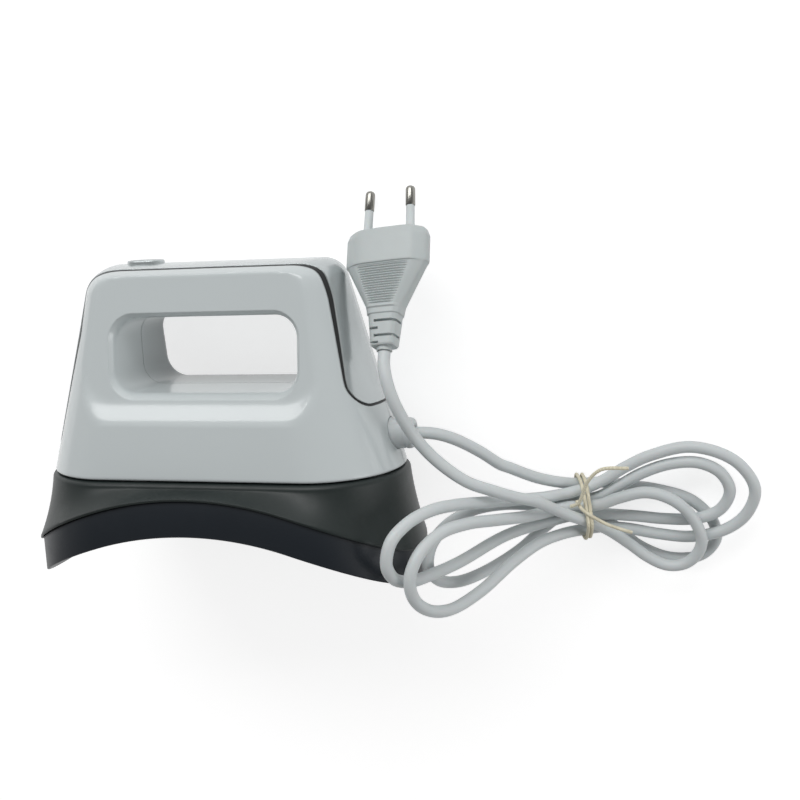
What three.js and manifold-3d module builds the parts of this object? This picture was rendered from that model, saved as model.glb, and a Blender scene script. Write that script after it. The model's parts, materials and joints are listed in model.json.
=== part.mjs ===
// A hand-held hat heat press with a curved heated plate, lying on its rear side on a table
// with its mains cord folded into a tied hank. Millimetres, +Z up.
// The press is built standing on its plate and is then laid down, because it is photographed lying.
// Standing, X runs along its length, from the button end to the cord end, and -Y is the side that shows.
import * as THREE from 'three';
import { mergeVertices } from 'three/addons/utils/BufferGeometryUtils.js';
import Module from 'manifold-3d';

const wasm = await Module();
wasm.setup();

// Clearance between pieces that touch
const fit = 0.3;

// Pressing plate: a block bent to a hat's curve, hollowed from above for the heater
const plateLength = 170;
const plateWidth = 87;
const plateThickness = 14.9;
const archRise = 27.6;
const pressingSkin = 6;
const plateWall = 5;

// Layers that lie in the plate's hollow
const heaterThickness = 1.8;
const clampThickness = 1.2;
const blanketThickness = 3.6;
const shieldThickness = 0.8;

// Dark shroud between plate and housing
const shroudWall = 2.2;
const shroudOverhang = 1.2;
const shroudShoulder = 1.3;
const shoulderHeight = 2.2;
const plateHeadroom = 3.2;
const lipHeight = 3;
const lipWall = 1.6;

// White housing, measured at its bottom edge, and how far its walls lean inward per millimetre of height
const housingTop = 135;
const housingWall = 2.2;
const housingSeat = 0.6;
const frontReach = 77.3;
const rearReach = 79.3;
const housingHalfWidth = 35.5;
const frontLean = 0.279;
const rearLean = 0.267;
const sideLean = 0.118;
const frontCorner = 15.3;
const rearCorner = 10;
const sideFillet = 9;
const crownRadius = 56;
const edgeRound = 1.2;

// Belt over the top and down both ends, with an open seam on each side of it
const beltHalfWidth = 15;
const beltFlare = 4;
const beltFlareTop = housingTop - 26;
const beltFlareLow = housingTop - 49;
const beltCorner = 8.5;
const beltFrontEnd = housingTop - 77;
const seamWidth = 0.9;
const frameWall = 1.8;
const frameUnderlap = 2.5;

// Handle opening and the panel sunk into each side around it
const handleFront = -35.8;
const handleRear = 43;
const handleHeight = 30.4;
const gripBar = 21.4;
const handleSill = housingTop - gripBar - handleHeight;
const handleCorner = 9;
const handleFlare = 3.3;
const panelFront = -51;
const panelRear = 56;
const panelBottom = handleSill - 11.2;
const panelTop = housingTop - 6;
const panelTopFront = -45;
const panelTopRear = 51.5;
const panelLedge = 7;
const panelBevel = 3.2;
const panelDepth = 2;

// Power button in its oval bezel
const buttonPlace = -30.5;
const bezelLength = 16.2;
const bezelWidth = 11.2;
const bezelWall = 1.5;
const bezelStand = 1.4;
const buttonStand = 1;
const buttonTravel = 0.8;
const buttonFlange = 0.7;
const lensLength = 4.4;
const lensWidth = 1.2;

// Cord and its gland
const cordDiameter = 5;
const glandHeight = 62;
const glandDiameter = 12.8;
const glandTip = 84.2;
const glandFlange = 16;
const beltGlandGap = 5.8;
const beltRearEnd = glandHeight + glandFlange / 2 + beltGlandGap;

// Cord outside the press: a plug on a stretch of cord, a hank of four loops and a stretch to the gland
const cordClear = 0.3;
const gapLeast = 0.4;
const tieDiameter = 1.6;
const sheetSlope = 1.5;
const sheetBend = 12;
const sheetFoot = 130.6;
const sheetFloor = 2.7;

// Plug with two round pins
const pinDiameter = 4;
const pinSpacing = 18.6;
const pinLength = 19;
const pinLean = 0.5;
const plugWidth = 35;
const plugDepth = 13.7;
const plugHead = 15;
const plugTaper = 17;
const reliefLength = 18.5;
const plugPitch = -38.6;
const plugYaw = -2.4;
const plugRoll = 6;

// Boards and small parts
const boardThickness = 1.6;
const boardFront = -48;
const boardRear = 38;
const boardHalfWidth = 22;
const boardStand = 9.8;
const boardPostRadius = 3;
const boardPostInset = 8;
const screwRadius = 1.5;
const caseBossRadius = 3.6;
const plateScrewX = 52;
const plateScrewY = 20;
const standoffRadius = 3.6;
const leadDiameter = 2;
const relayLength = 18;
const relayWidth = 15;
const transformerLength = 15;
const transformerWidth = 16;
const capacitorRadius = 5;
const terminalLength = 10;
const terminalWidth = 14;

// Far enough out to clear the whole press
const faraway = 200;

const shroudTop = archRise + plateThickness + plateHeadroom + shroudWall;
const housingBottom = shroudTop + housingSeat;

// Colours and finishes
function finish(color, roughness, metalness = 0) {
  return new THREE.MeshStandardMaterial({ color, roughness, metalness });
}
const whitePlastic = finish(0xe8ebec, 0.22);
const beltPlastic = finish(0xdfe3e4, 0.2);
const seamBlack = finish(0x17191a, 0.5);
const shroudGrey = finish(0x3f4644, 0.42);
const plateCoating = finish(0x1d222b, 0.5);
const springSteel = finish(0xb9bcbd, 0.3, 1);
const aluminium = finish(0xc7c9ca, 0.4, 1);
const micaBrown = finish(0x9a7b52, 0.6);
const glassWool = finish(0xd8d3c4, 0.95);
const boardGreen = finish(0x1f5a3a, 0.5);
const blackPlastic = finish(0x1b1c1e, 0.5);
const whiteNylon = finish(0xdedbd2, 0.5);
const cordGrey = finish(0xd5dadb, 0.45);
const nickel = finish(0xc9c6bf, 0.25, 1);
const copperRed = finish(0xa83a2c, 0.5);
const leadBlue = finish(0x2f5a9c, 0.5);
const tieCream = finish(0xe6dfc4, 0.6);
const lensGrey = finish(0x8d9496, 0.3);

// Solids: a closed geometry becomes a solid that can be joined and cut
function solidOf(geometry) {
  const bare = geometry.clone();
  bare.deleteAttribute('normal');
  bare.deleteAttribute('uv');
  const merged = mergeVertices(bare, 1e-5);
  return new wasm.Manifold(new wasm.Mesh({
    numProp: 3,
    vertProperties: new Float32Array(merged.attributes.position.array),
    triVerts: new Uint32Array(merged.index.array),
  }));
}

function geometryOf(solid) {
  const mesh = solid.getMesh();
  const geometry = new THREE.BufferGeometry();
  geometry.setAttribute('position', new THREE.BufferAttribute(mesh.vertProperties, 3));
  geometry.setIndex(new THREE.BufferAttribute(mesh.triVerts, 1));
  geometry.computeVertexNormals();
  return geometry;
}

// A skin through rings of points, closed by a cap at each end. Every ring has the same even number of points.
function loft(rings) {
  const count = rings[0].length;
  const last = (rings.length - 1) * count;
  const index = [];
  for (let r = 0; r < rings.length - 1; r += 1) {
    for (let i = 0; i < count; i += 1) {
      const a = r * count + i;
      const b = r * count + (i + 1) % count;
      index.push(a, b, b + count, a, b + count, a + count);
    }
  }
  for (let i = 0; i < count / 2; i += 1) {
    const b = i + 1;
    const c = count - i - 1;
    const d = (count - i) % count;
    if (b !== c) index.push(c, b, i, last + i, last + b, last + c);
    if (i !== d) index.push(d, c, i, last + i, last + c, last + d);
  }
  const position = rings.flat(2);
  if (signedVolume(position, index) < 0) index.reverse();
  const geometry = new THREE.BufferGeometry();
  geometry.setAttribute('position', new THREE.Float32BufferAttribute(position, 3));
  geometry.setIndex(index);
  return solidOf(geometry);
}

function signedVolume(position, index) {
  const corner = (i) => new THREE.Vector3().fromArray(position, 3 * index[i]);
  let volume = 0;
  for (let i = 0; i < index.length; i += 3) {
    volume += corner(i).dot(corner(i + 1).cross(corner(i + 2))) / 6;
  }
  return volume;
}

function box(x0, x1, y0, y1, z0, z1) {
  const geometry = new THREE.BoxGeometry(x1 - x0, y1 - y0, z1 - z0);
  geometry.translate((x0 + x1) / 2, (y0 + y1) / 2, (z0 + z1) / 2);
  return solidOf(geometry);
}

// A rod along an axis between two places on it, at the other two coordinates
function rod(axis, radius, from, to, u, v, sides = 20) {
  const geometry = new THREE.CylinderGeometry(radius, radius, to - from, sides);
  if (axis === 'x') geometry.rotateZ(-Math.PI / 2);
  if (axis === 'z') geometry.rotateX(Math.PI / 2);
  const middle = (from + to) / 2;
  if (axis === 'x') geometry.translate(middle, u, v);
  if (axis === 'y') geometry.translate(u, middle, v);
  if (axis === 'z') geometry.translate(u, v, middle);
  return solidOf(geometry);
}

// A turned piece about an axis, from a profile of [radius, place along the axis]
function turned(profile, axis, u, v, sides = 20) {
  const points = profile.map(([radius, along]) => new THREE.Vector2(radius, along));
  const geometry = new THREE.LatheGeometry(points, sides);
  if (axis === 'x') geometry.rotateZ(-Math.PI / 2).translate(0, u, v);
  if (axis === 'y') geometry.translate(u, 0, v);
  if (axis === 'z') geometry.rotateX(Math.PI / 2).translate(u, v, 0);
  return solidOf(geometry);
}

// A cable along a smooth curve through points
function cable(points, diameter, steps, sides = 8) {
  const curve = new THREE.CatmullRomCurve3(points.map((p) => new THREE.Vector3(...p)), false, 'centripetal');
  const section = new THREE.Shape();
  for (let i = 0; i < sides; i += 1) {
    const turn = 2 * Math.PI * i / sides;
    const across = [diameter / 2 * Math.cos(turn), diameter / 2 * Math.sin(turn)];
    if (i === 0) section.moveTo(...across);
    else section.lineTo(...across);
  }
  section.closePath();
  return new THREE.ExtrudeGeometry(section, { steps, extrudePath: curve, bevelEnabled: false });
}

// Outlines seen from above: straight sides with half-round ends, as mirrored halves
const endSteps = 8;
const sideSteps = 5;
function pillOutline(front, rear, halfWidth, endFacets = endSteps, sideFacets = sideSteps) {
  const half = [];
  const frontCentre = halfWidth - front;
  const rearCentre = rear - halfWidth;
  for (let i = 0; i <= endFacets; i += 1) {
    const turn = Math.PI / 2 * i / endFacets;
    half.push([frontCentre - halfWidth * Math.cos(turn), -halfWidth * Math.sin(turn)]);
  }
  for (let i = 1; i < sideFacets; i += 1) {
    half.push([frontCentre + (rearCentre - frontCentre) * i / sideFacets, -halfWidth]);
  }
  for (let i = 0; i <= endFacets; i += 1) {
    const turn = Math.PI / 2 * i / endFacets;
    half.push([rearCentre + halfWidth * Math.sin(turn), -halfWidth * Math.cos(turn)]);
  }
  half[0][1] = 0;
  half[half.length - 1][1] = 0;
  const back = half.slice(1, -1).reverse().map(([x, y]) => [x, -y]);
  return half.concat(back);
}

// An upright pill-shaped bar between two heights
function pillBar(centre, length, width, bottom, top) {
  const ring = (z) => pillOutline(length / 2, length / 2, width / 2, 7, 1).map(([x, y]) => [centre + x, y, z]);
  return loft([ring(bottom), ring(top)]);
}

// The plate's curve: height of its pressing face above the table it stands on
const archRadius = ((plateLength / 2) ** 2 + archRise ** 2) / (2 * archRise);
function archAt(x, above = 0) {
  return Math.sqrt(archRadius ** 2 - x ** 2) - (archRadius - archRise) + above;
}

// A curved slab between two heights above the pressing face, drawn in from the plate's outline
function archedSlab(inset, from, to, endFacets = endSteps, sideFacets = sideSteps) {
  const half = plateLength / 2 - inset;
  const outline = pillOutline(half, half, plateWidth / 2 - inset, endFacets, sideFacets);
  const ring = (above) => outline.map(([x, y]) => [x, y, archAt(x, above)]);
  return loft([ring(from), ring(to)]);
}

// Housing profile
function endReach(z, reach, lean, corner, inset) {
  const tilt = Math.atan(lean);
  const centreHeight = housingTop - corner;
  const centre = reach - lean * (centreHeight - housingBottom) - corner / Math.cos(tilt);
  const radius = corner - inset;
  if (z <= centreHeight + radius * Math.sin(tilt)) {
    return reach - lean * (z - housingBottom) - inset / Math.cos(tilt);
  }
  return centre + Math.sqrt(Math.max(0, radius ** 2 - (z - centreHeight) ** 2));
}

const sideTilt = Math.atan(sideLean);
const crownCentre = housingTop - crownRadius;
const filletReach = housingHalfWidth + sideLean * housingBottom - sideFillet / Math.cos(sideTilt);
const filletCentre = (() => {
  const square = 1 + sideLean ** 2;
  const linear = sideLean * filletReach + crownCentre;
  const rest = filletReach ** 2 + crownCentre ** 2 - (crownRadius - sideFillet) ** 2;
  return (linear + Math.sqrt(linear ** 2 - square * rest)) / square;
})();
function halfWidthAt(z, inset = 0) {
  const radius = sideFillet - inset;
  if (z <= filletCentre + radius * Math.sin(sideTilt)) {
    return housingHalfWidth - sideLean * (z - housingBottom) - inset / Math.cos(sideTilt);
  }
  const joint = (filletCentre - crownCentre) / (crownRadius - sideFillet);
  if (z <= crownCentre + (crownRadius - inset) * joint) {
    const across = filletReach - sideLean * filletCentre;
    return across + Math.sqrt(Math.max(0, radius ** 2 - (z - filletCentre) ** 2));
  }
  return Math.sqrt(Math.max(0, (crownRadius - inset) ** 2 - (z - crownCentre) ** 2));
}

function bodyRing(z, inset, drawn = 0) {
  const front = endReach(z, frontReach, frontLean, frontCorner, inset) - drawn;
  const rear = endReach(z, rearReach, rearLean, rearCorner, inset) - drawn;
  return pillOutline(front, rear, halfWidthAt(z, inset) - drawn, 7, 2).map(([x, y]) => [x, y, z]);
}

// The housing's outer form, or the same form drawn in by an inset, from a height to its crown
const crownCut = 0.05;
const roundedZone = 19;
function bodyForm(inset, bottom, facets = 6) {
  const rings = [];
  if (inset === 0) {
    rings.push(bodyRing(bottom, 0, edgeRound));
    rings.push(bodyRing(bottom + edgeRound * 0.3, 0, edgeRound * 0.4));
    rings.push(bodyRing(bottom + edgeRound, 0));
  } else {
    rings.push(bodyRing(bottom, inset));
  }
  const top = housingTop - inset - crownCut;
  const zoneBottom = housingTop - roundedZone;
  for (let i = 0; i <= facets; i += 1) {
    const z = zoneBottom + (top - zoneBottom) * Math.sin(Math.PI / 2 * i / facets);
    rings.push(bodyRing(z, inset));
  }
  return loft(rings);
}

// An outline of straight sides with rounded corners, counter-clockwise
function roundedOutline(corners, radii, steps = 5) {
  const points = [];
  corners.forEach((corner, i) => {
    const here = new THREE.Vector2(...corner);
    const before = new THREE.Vector2(...corners[(i + corners.length - 1) % corners.length]);
    const after = new THREE.Vector2(...corners[(i + 1) % corners.length]);
    const inward = before.sub(here).normalize();
    const outward = after.sub(here).normalize();
    const half = Math.acos(inward.dot(outward)) / 2;
    const bisector = inward.clone().add(outward).normalize();
    const centre = here.clone().addScaledVector(bisector, radii[i] / Math.sin(half));
    const start = here.clone().addScaledVector(inward, radii[i] / Math.tan(half)).sub(centre).angle();
    const sweep = Math.PI - 2 * half;
    for (let s = 0; s <= steps; s += 1) {
      const turn = start + sweep * s / steps;
      points.push([centre.x + radii[i] * Math.cos(turn), centre.y + radii[i] * Math.sin(turn)]);
    }
  });
  return points;
}

// The belt's end view as a bar through the whole housing: side = 1 at the cord end, -1 at the button end
function beltBar(side, grow) {
  const low = (side > 0 ? beltRearEnd : beltFrontEnd) - grow;
  const wide = beltHalfWidth + beltFlare + grow;
  const slim = beltHalfWidth + grow;
  const past = housingTop + 5;
  const corners = [[-wide, low], [wide, low], [wide, beltFlareLow], [slim, beltFlareTop], [slim, past],
    [-slim, past], [-slim, beltFlareTop], [-wide, beltFlareLow]];
  const soft = 0.4;
  const corner = beltCorner + grow;
  const outline = roundedOutline(corners, [corner, corner, soft, soft, soft, soft, soft, soft], 4);
  const ring = (x) => outline.map(([y, z]) => [x, y, z]);
  return loft([ring(0), ring(side * (rearReach + 20))]);
}

function belt(grow) {
  return beltBar(1, grow).add(beltBar(-1, grow));
}

// How far the housing's skin, drawn in by an inset, stands from the middle plane at a place on its side
function skinAt(x, z, inset = 0) {
  const half = halfWidthAt(z, inset);
  const front = half - endReach(z, frontReach, frontLean, frontCorner, inset);
  const rear = endReach(z, rearReach, rearLean, rearCorner, inset) - half;
  const past = Math.max(front - x, x - rear, 0);
  return Math.sqrt(Math.max(half ** 2 - past ** 2, 0));
}

// The cutter that sinks a panel into the side at side * y. Its floor follows the housing's skin.
function panelCutter(side, grow = 0) {
  const outer = [[panelFront - grow, panelBottom - grow], [panelRear + grow, panelBottom - grow],
    [panelTopRear + grow, panelTop + grow], [panelTopFront - grow, panelTop + grow]];
  const inner = [[panelFront + panelBevel - grow, panelBottom + panelLedge - grow],
    [panelRear - panelBevel + grow, panelBottom + panelLedge - grow],
    [panelTopRear - panelBevel + grow, panelTop - panelBevel + grow],
    [panelTopFront + panelBevel - grow, panelTop - panelBevel + grow]];
  const steps = grow > 0 ? 3 : 4;
  const rim = roundedOutline(outer, [13, 17, 15, 18], steps);
  const floor = roundedOutline(inner, [11, 15, 12, 15], steps);
  const past = housingHalfWidth + 10;
  const depth = panelDepth + grow;
  return loft([
    rim.map(([x, z]) => [x, side * past, z]),
    rim.map(([x, z]) => [x, side * skinAt(x, z, 0), z]),
    floor.map(([x, z]) => [x, side * skinAt(x, z, depth), z]),
    floor.map(([x, z]) => [x, side, z]),
  ]).subtract(bodyForm(depth, housingBottom - 10, 4));
}

function handleOutline(grow) {
  const low = handleSill - grow;
  const high = handleSill + handleHeight + grow;
  const front = handleFront - grow;
  const rear = handleRear + grow;
  const corner = handleCorner + grow;
  return roundedOutline([[front, low], [rear, low], [rear, high], [front, high]], [corner, corner, corner, corner], 5);
}

// The handle opening with its flared mouth on both sides
function handleCutter() {
  const mouth = [];
  for (const turn of [0, Math.PI / 6, Math.PI / 3, Math.PI / 2]) {
    const grow = handleFlare * (1 - Math.sin(turn));
    const depth = handleFlare * (1 - Math.cos(turn));
    mouth.push((side) => handleOutline(grow).map(([x, z]) => [x, side * (skinAt(x, z, panelDepth) - depth), z]));
  }
  const past = housingHalfWidth + 10;
  const outside = (side) => handleOutline(handleFlare).map(([x, z]) => [x, side * past, z]);
  return loft([outside(-1), ...mouth.map((ring) => ring(-1)), ...mouth.reverse().map((ring) => ring(1)), outside(1)]);
}

function handleSleeve(grow) {
  const ring = (y) => handleOutline(grow).map(([x, z]) => [x, y, z]);
  return loft([ring(-housingHalfWidth - 10), ring(housingHalfWidth + 10)]);
}

// Places that several pieces share
const deckTop = shroudTop;
const boardBottom = deckTop + boardStand;
const boardTop = boardBottom + boardThickness;
const caseBossLow = deckTop + 7.6;
const barScrewDrop = 1.5;
const barMiddle = (handleSill + handleHeight + housingTop) / 2 - barScrewDrop;
const caseBosses = [[-60, caseBossLow], [60, caseBossLow], [6, barMiddle], [38, barMiddle]];
const plateScrews = [[-plateScrewX, -plateScrewY], [plateScrewX, -plateScrewY],
  [-plateScrewX, plateScrewY], [plateScrewX, plateScrewY]];
const boardScrews = [[boardFront + boardPostInset, 17], [boardFront + boardPostInset, -17],
  [boardRear - boardPostInset, 17], [boardRear - boardPostInset, -17]];
const heaterLeads = [[-8, 12], [8, 12]];
const sensorPlace = [24, -4];
const fusePlace = [-28, 0];
const clampPlace = 51.5;
const clampHalfLength = 3;
const clampHalfWidth = 10;
const clampScrewY = 6.4;
const handleRoof = handleSill + handleHeight + housingWall;
const buttonBoardBottom = handleRoof + 5;
const buttonBoardTop = buttonBoardBottom + boardThickness;
const buttonBoardFront = buttonPlace - 13;
const buttonBoardRear = buttonPlace + 14;
const buttonPosts = [buttonPlace - 5, buttonPlace + 11];
const buttonPostY = 5;

const press = new THREE.Group();
const forms = [];
function piece(name, shape, material) {
  const geometry = shape instanceof THREE.BufferGeometry ? shape : geometryOf(shape);
  const mesh = new THREE.Mesh(geometry, material);
  mesh.name = name;
  press.add(mesh);
  forms.push(mesh);
  return mesh;
}

// Housing halves
function housing() {
  let hollow = bodyForm(housingWall, housingBottom - 10, 4);
  hollow = hollow.subtract(handleSleeve(housingWall));
  for (const side of [-1, 1]) hollow = hollow.subtract(panelCutter(side, housingWall));
  const body = bodyForm(0, housingBottom);
  let shell = body.subtract(hollow);
  const bosses = [];
  for (const [x, z] of caseBosses) {
    bosses.push(rod('y', caseBossRadius, -housingHalfWidth - 5, housingHalfWidth + 5, x, z, 10));
  }
  for (const x of buttonPosts) {
    for (const y of [-buttonPostY, buttonPostY]) {
      bosses.push(rod('z', 2, handleRoof - handleCorner, buttonBoardBottom - fit, x, y, 8));
    }
  }
  for (const boss of bosses) shell = shell.add(boss.intersect(body));
  for (const side of [-1, 1]) shell = shell.subtract(panelCutter(side));
  shell = shell.subtract(handleCutter());
  return shell;
}

const splitBox = (side) => {
  const far = side * faraway;
  const near = side * fit / 2;
  return box(-faraway, faraway, Math.min(near, far), Math.max(near, far), housingBottom - 20, housingTop + 20);
};
const skinMargin = 0.05;
const shellStock = housing().subtract(belt(seamWidth / 2).subtract(bodyForm(housingWall + skinMargin, housingBottom - 10, 4)))
  .subtract(rod('x', glandDiameter / 2 + fit, clampPlace + 10, rearReach + 10, 0, glandHeight, 28));
const screwTip = -13;
const screwHeadFrom = 12;
let frontShell = shellStock.intersect(splitBox(-1));
let rearShell = shellStock.intersect(splitBox(1));
for (const [x, z] of caseBosses) {
  frontShell = frontShell.subtract(rod('y', screwRadius + fit, screwTip - fit, 5, x, z, 10));
  rearShell = rearShell.subtract(rod('y', screwRadius + fit, -5, 60, x, z, 10));
  rearShell = rearShell.subtract(rod('y', screwRadius * 2 + fit, screwHeadFrom, 60, x, z, 12));
}
piece('front_shell', frontShell, whitePlastic);
piece('rear_shell', rearShell, whitePlastic);
for (const [i, [x, z]] of caseBosses.entries()) {
  const head = screwHeadFrom + fit;
  piece(`case_screw_${i + 1}`, turned([[0, screwTip], [screwRadius, screwTip + 1], [screwRadius, head],
    [screwRadius * 2, head], [screwRadius * 2, head + 1.4], [screwRadius * 1.4, head + 2],
    [0, head + 2]], 'y', x, z, 12), springSteel);
}

// Belt and the black frame that it and the shells sit on
const bezelHole = pillBar(buttonPlace, bezelLength - 2 + 2 * fit, bezelWidth - 2 + 2 * fit, handleRoof, housingTop + 5);
const beltShell = bodyForm(0, housingBottom).subtract(bodyForm(housingWall, housingBottom - 10, 4));
piece('centre_band', beltShell.intersect(belt(-seamWidth / 2)).subtract(bezelHole), beltPlastic);
const frameOuter = housingWall + fit;
const frameStock = bodyForm(frameOuter, housingBottom - 5, 4)
  .subtract(bodyForm(frameOuter + frameWall, housingBottom - 10, 4));
piece('inner_frame', frameStock.intersect(belt(frameUnderlap)).subtract(bezelHole)
  .subtract(panelCutter(-1, frameOuter)).subtract(panelCutter(1, frameOuter))
  .intersect(box(-faraway, faraway, -faraway, faraway, housingBottom + 5, housingTop)), seamBlack);

// Shroud
function shroud() {
  const shoulder = (drawn) => pillOutline(frontReach + drawn, rearReach + drawn, housingHalfWidth + drawn);
  const half = plateLength / 2 + shroudOverhang;
  const rim = pillOutline(half, half, plateWidth / 2 + shroudOverhang);
  const flat = (outline, z) => outline.map(([x, y]) => [x, y, z]);
  const rimHeight = (x) => archAt(Math.min(Math.abs(x), plateLength / 2), plateThickness + fit);
  const shoulderLow = deckTop - shoulderHeight;
  const wide = shoulder(shroudShoulder);
  const flare = (share, bow) => wide.map(([x, y], i) => {
    const [rimX, rimY] = rim[i];
    const out = share - bow * share * (1 - share);
    const z = shoulderLow + (rimHeight(rimX) + rimEdge - shoulderLow) * share;
    return [x + (rimX - x) * out, y + (rimY - y) * out, z];
  });
  const skin = loft([
    rim.map(([x, y]) => [x, y, rimHeight(x)]),
    flare(1, 0), flare(0.66, 0.5), flare(0.33, 0.5), flat(wide, shoulderLow),
    flat(shoulder(shroudShoulder * 0.7), deckTop - 0.8), flat(shoulder(0.1), deckTop - 0.25),
    flat(shoulder(-0.6), deckTop),
  ]);
  const wallRun = (x) => {
    const drop = shoulderLow - rimHeight(x);
    return shroudWall / Math.sin(Math.atan2(drop, flareOut));
  };
  const innerAt = rim.map(([x, y], i) => {
    const run = wallRun(x);
    return pillOutline(half - run, half - run, plateWidth / 2 + shroudOverhang - run)[i];
  });
  const inside = loft([
    innerAt.map(([x, y]) => [x, y, rimHeight(x) - 3]),
    innerAt.map(([x, y]) => [x, y, rimHeight(x)]),
    flat(shoulder(shroudShoulder - shroudWall), deckTop - shroudWall),
  ]);
  let solid = skin.subtract(inside);
  const lip = bodyForm(housingWall + fit, deckTop - 0.5, 2)
    .subtract(bodyForm(housingWall + fit + lipWall, deckTop - 2, 2))
    .intersect(box(-faraway, faraway, -faraway, faraway, deckTop - 1, housingBottom + lipHeight));
  solid = solid.add(lip);
  for (const [x, y] of boardScrews) {
    solid = solid.add(rod('z', boardPostRadius, deckTop - 1, boardBottom - fit, x, y, 10));
    solid = solid.subtract(rod('z', screwRadius * 0.6 + fit, deckTop, boardBottom + 1, x, y, 8));
  }
  for (const [x, y] of plateScrews) {
    solid = solid.subtract(rod('z', screwRadius + fit, deckTop - 6, deckTop + 1, x, y, 10));
  }
  for (const [x, y] of heaterLeads) {
    solid = solid.subtract(rod('z', leadDiameter / 2 + fit, deckTop - 6, deckTop + 1, x, y, 10));
  }
  solid = solid.subtract(rod('z', leadDiameter / 2 + fit, deckTop - 6, deckTop + 1, ...sensorPlace, 12));
  const post = box(clampPlace - clampHalfLength, clampPlace + clampHalfLength, -clampHalfWidth, clampHalfWidth,
    deckTop - 1, glandHeight - cordDiameter / 2 - fit);
  solid = solid.add(post);
  for (const y of [-clampScrewY, clampScrewY]) {
    solid = solid.subtract(rod('z', screwRadius * 0.8 + fit, deckTop + 2, glandHeight, clampPlace, y, 10));
  }
  return solid;
}
const rimEdge = 1;
const flareOut = plateWidth / 2 + shroudOverhang - housingHalfWidth - shroudShoulder;
piece('base_shroud', shroud(), shroudGrey);

// Plate and the layers in its hollow
const bossTop = archAt(plateScrewX + standoffRadius, plateThickness) - fit;
function holed(solid, radius, places) {
  let cut = solid;
  for (const [x, y] of places) cut = cut.subtract(rod('z', radius, -20, deckTop, x, y, 12));
  return cut;
}
let plate = archedSlab(0, 0, plateThickness).subtract(archedSlab(plateWall, pressingSkin, plateThickness + 5, 6, 6));
for (const [x, y] of plateScrews) {
  plate = plate.add(rod('z', standoffRadius, archAt(x, pressingSkin - 2), bossTop, x, y, 16));
}
const plateScrewTip = archAt(plateScrewX, pressingSkin) - 1;
for (const [x, y] of plateScrews) plate = plate.subtract(rod('z', screwRadius + fit, plateScrewTip - fit, 60, x, y, 12));
piece('heat_plate', plate, plateCoating);

const layers = [
  ['heating_element', heaterThickness, micaBrown, plateWall + 3],
  ['element_clamp', clampThickness, springSteel, plateWall + 3],
  ['insulation_blanket', blanketThickness, glassWool, plateWall + 0.6],
  ['heat_shield', shieldThickness, aluminium, plateWall + 0.6],
];
let layerBottom = pressingSkin + fit;
let clampTop = 0;
for (const [name, thickness, material, inset] of layers) {
  let layer = archedSlab(inset, layerBottom, layerBottom + thickness, 5, 6);
  layer = holed(layer, standoffRadius + fit, plateScrews);
  layer = holed(layer, 2.6, [sensorPlace]);
  if (name !== 'heating_element') layer = holed(layer, leadDiameter / 2 + fit, heaterLeads);
  if (name === 'element_clamp') clampTop = layerBottom + thickness;
  if (name === 'insulation_blanket') {
    const slot = archAt(fusePlace[0], layerBottom);
    layer = layer.subtract(box(fusePlace[0] - 7, fusePlace[0] + 7, -2.5, 2.5, slot - 5, slot + 20));
  }
  piece(name, layer, material);
  layerBottom += thickness + fit;
}
const fuseRadius = 1.4;
const fuseLength = 9;
const fuseTilt = Math.asin(fusePlace[0] / archRadius);
const fuseGeometry = new THREE.CylinderGeometry(fuseRadius, fuseRadius, fuseLength, 14);
fuseGeometry.rotateZ(-Math.PI / 2).rotateY(fuseTilt);
fuseGeometry.translate(fusePlace[0], 0, archAt(fusePlace[0], clampTop) + fuseRadius + 0.5);
piece('thermal_fuse', fuseGeometry, whiteNylon);
const sensorFloor = archAt(sensorPlace[0], pressingSkin);
piece('thermistor', turned([[0, sensorFloor + 0.8], [2, sensorFloor + 0.8], [2, sensorFloor + 2.4],
  [0.9, sensorFloor + 3], [0, sensorFloor + 3]], 'z', ...sensorPlace, 14), blackPlastic);
for (const [i, [x, y]] of plateScrews.entries()) {
  piece(`standoff_${i + 1}`, rod('z', standoffRadius, bossTop + fit, deckTop - shroudWall - fit, x, y, 16)
    .subtract(rod('z', screwRadius + fit, 0, deckTop, x, y, 12)), springSteel);
  const head = deckTop + fit;
  piece(`plate_screw_${i + 1}`, turned([[0, plateScrewTip], [screwRadius, plateScrewTip + 1], [screwRadius, head],
    [screwRadius * 2, head], [screwRadius * 2, head + 1.4], [screwRadius * 1.4, head + 2],
    [0, head + 2]], 'z', x, y, 12), springSteel);
}

// Control board and what it carries
let board = box(boardFront, boardRear, -boardHalfWidth, boardHalfWidth, boardBottom, boardTop);
for (const [x, y] of boardScrews) board = board.subtract(rod('z', screwRadius * 0.6 + fit, 0, 90, x, y, 10));
piece('control_board', board, boardGreen);
for (const [i, [x, y]] of boardScrews.entries()) {
  const radius = screwRadius * 0.6;
  const head = boardTop + fit;
  piece(`board_screw_${i + 1}`, turned([[0, deckTop + 3], [radius, deckTop + 3.6], [radius, head],
    [radius * 2, head], [radius * 2, head + 1], [0, head + 1.3]], 'z', x, y, 10), springSteel);
}
const seat = boardTop + fit;
const boardRoom = handleSill - housingWall - seat;
const onBoard = (from, length, width, shift, height) => box(from, from + length, shift - width / 2,
  shift + width / 2, seat, seat + height);
const relayFrom = boardRear - 36;
const transformerFrom = boardFront + 30;
piece('relay', onBoard(relayFrom, relayLength, relayWidth, -0.5, 0.65 * boardRoom), blackPlastic);
piece('transformer', onBoard(transformerFrom, transformerLength, transformerWidth, 0, 0.6 * boardRoom), micaBrown);
const capacitorTop = seat + 0.58 * boardRoom;
piece('capacitor', turned([[0, seat], [capacitorRadius - 0.4, seat], [capacitorRadius, seat + 0.5],
  [capacitorRadius, capacitorTop - 0.6], [capacitorRadius - 0.5, capacitorTop], [0, capacitorTop]],
  'z', boardFront + 20, 0, 16), blackPlastic);
const terminalFrom = boardRear - 3 - terminalLength;
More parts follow.
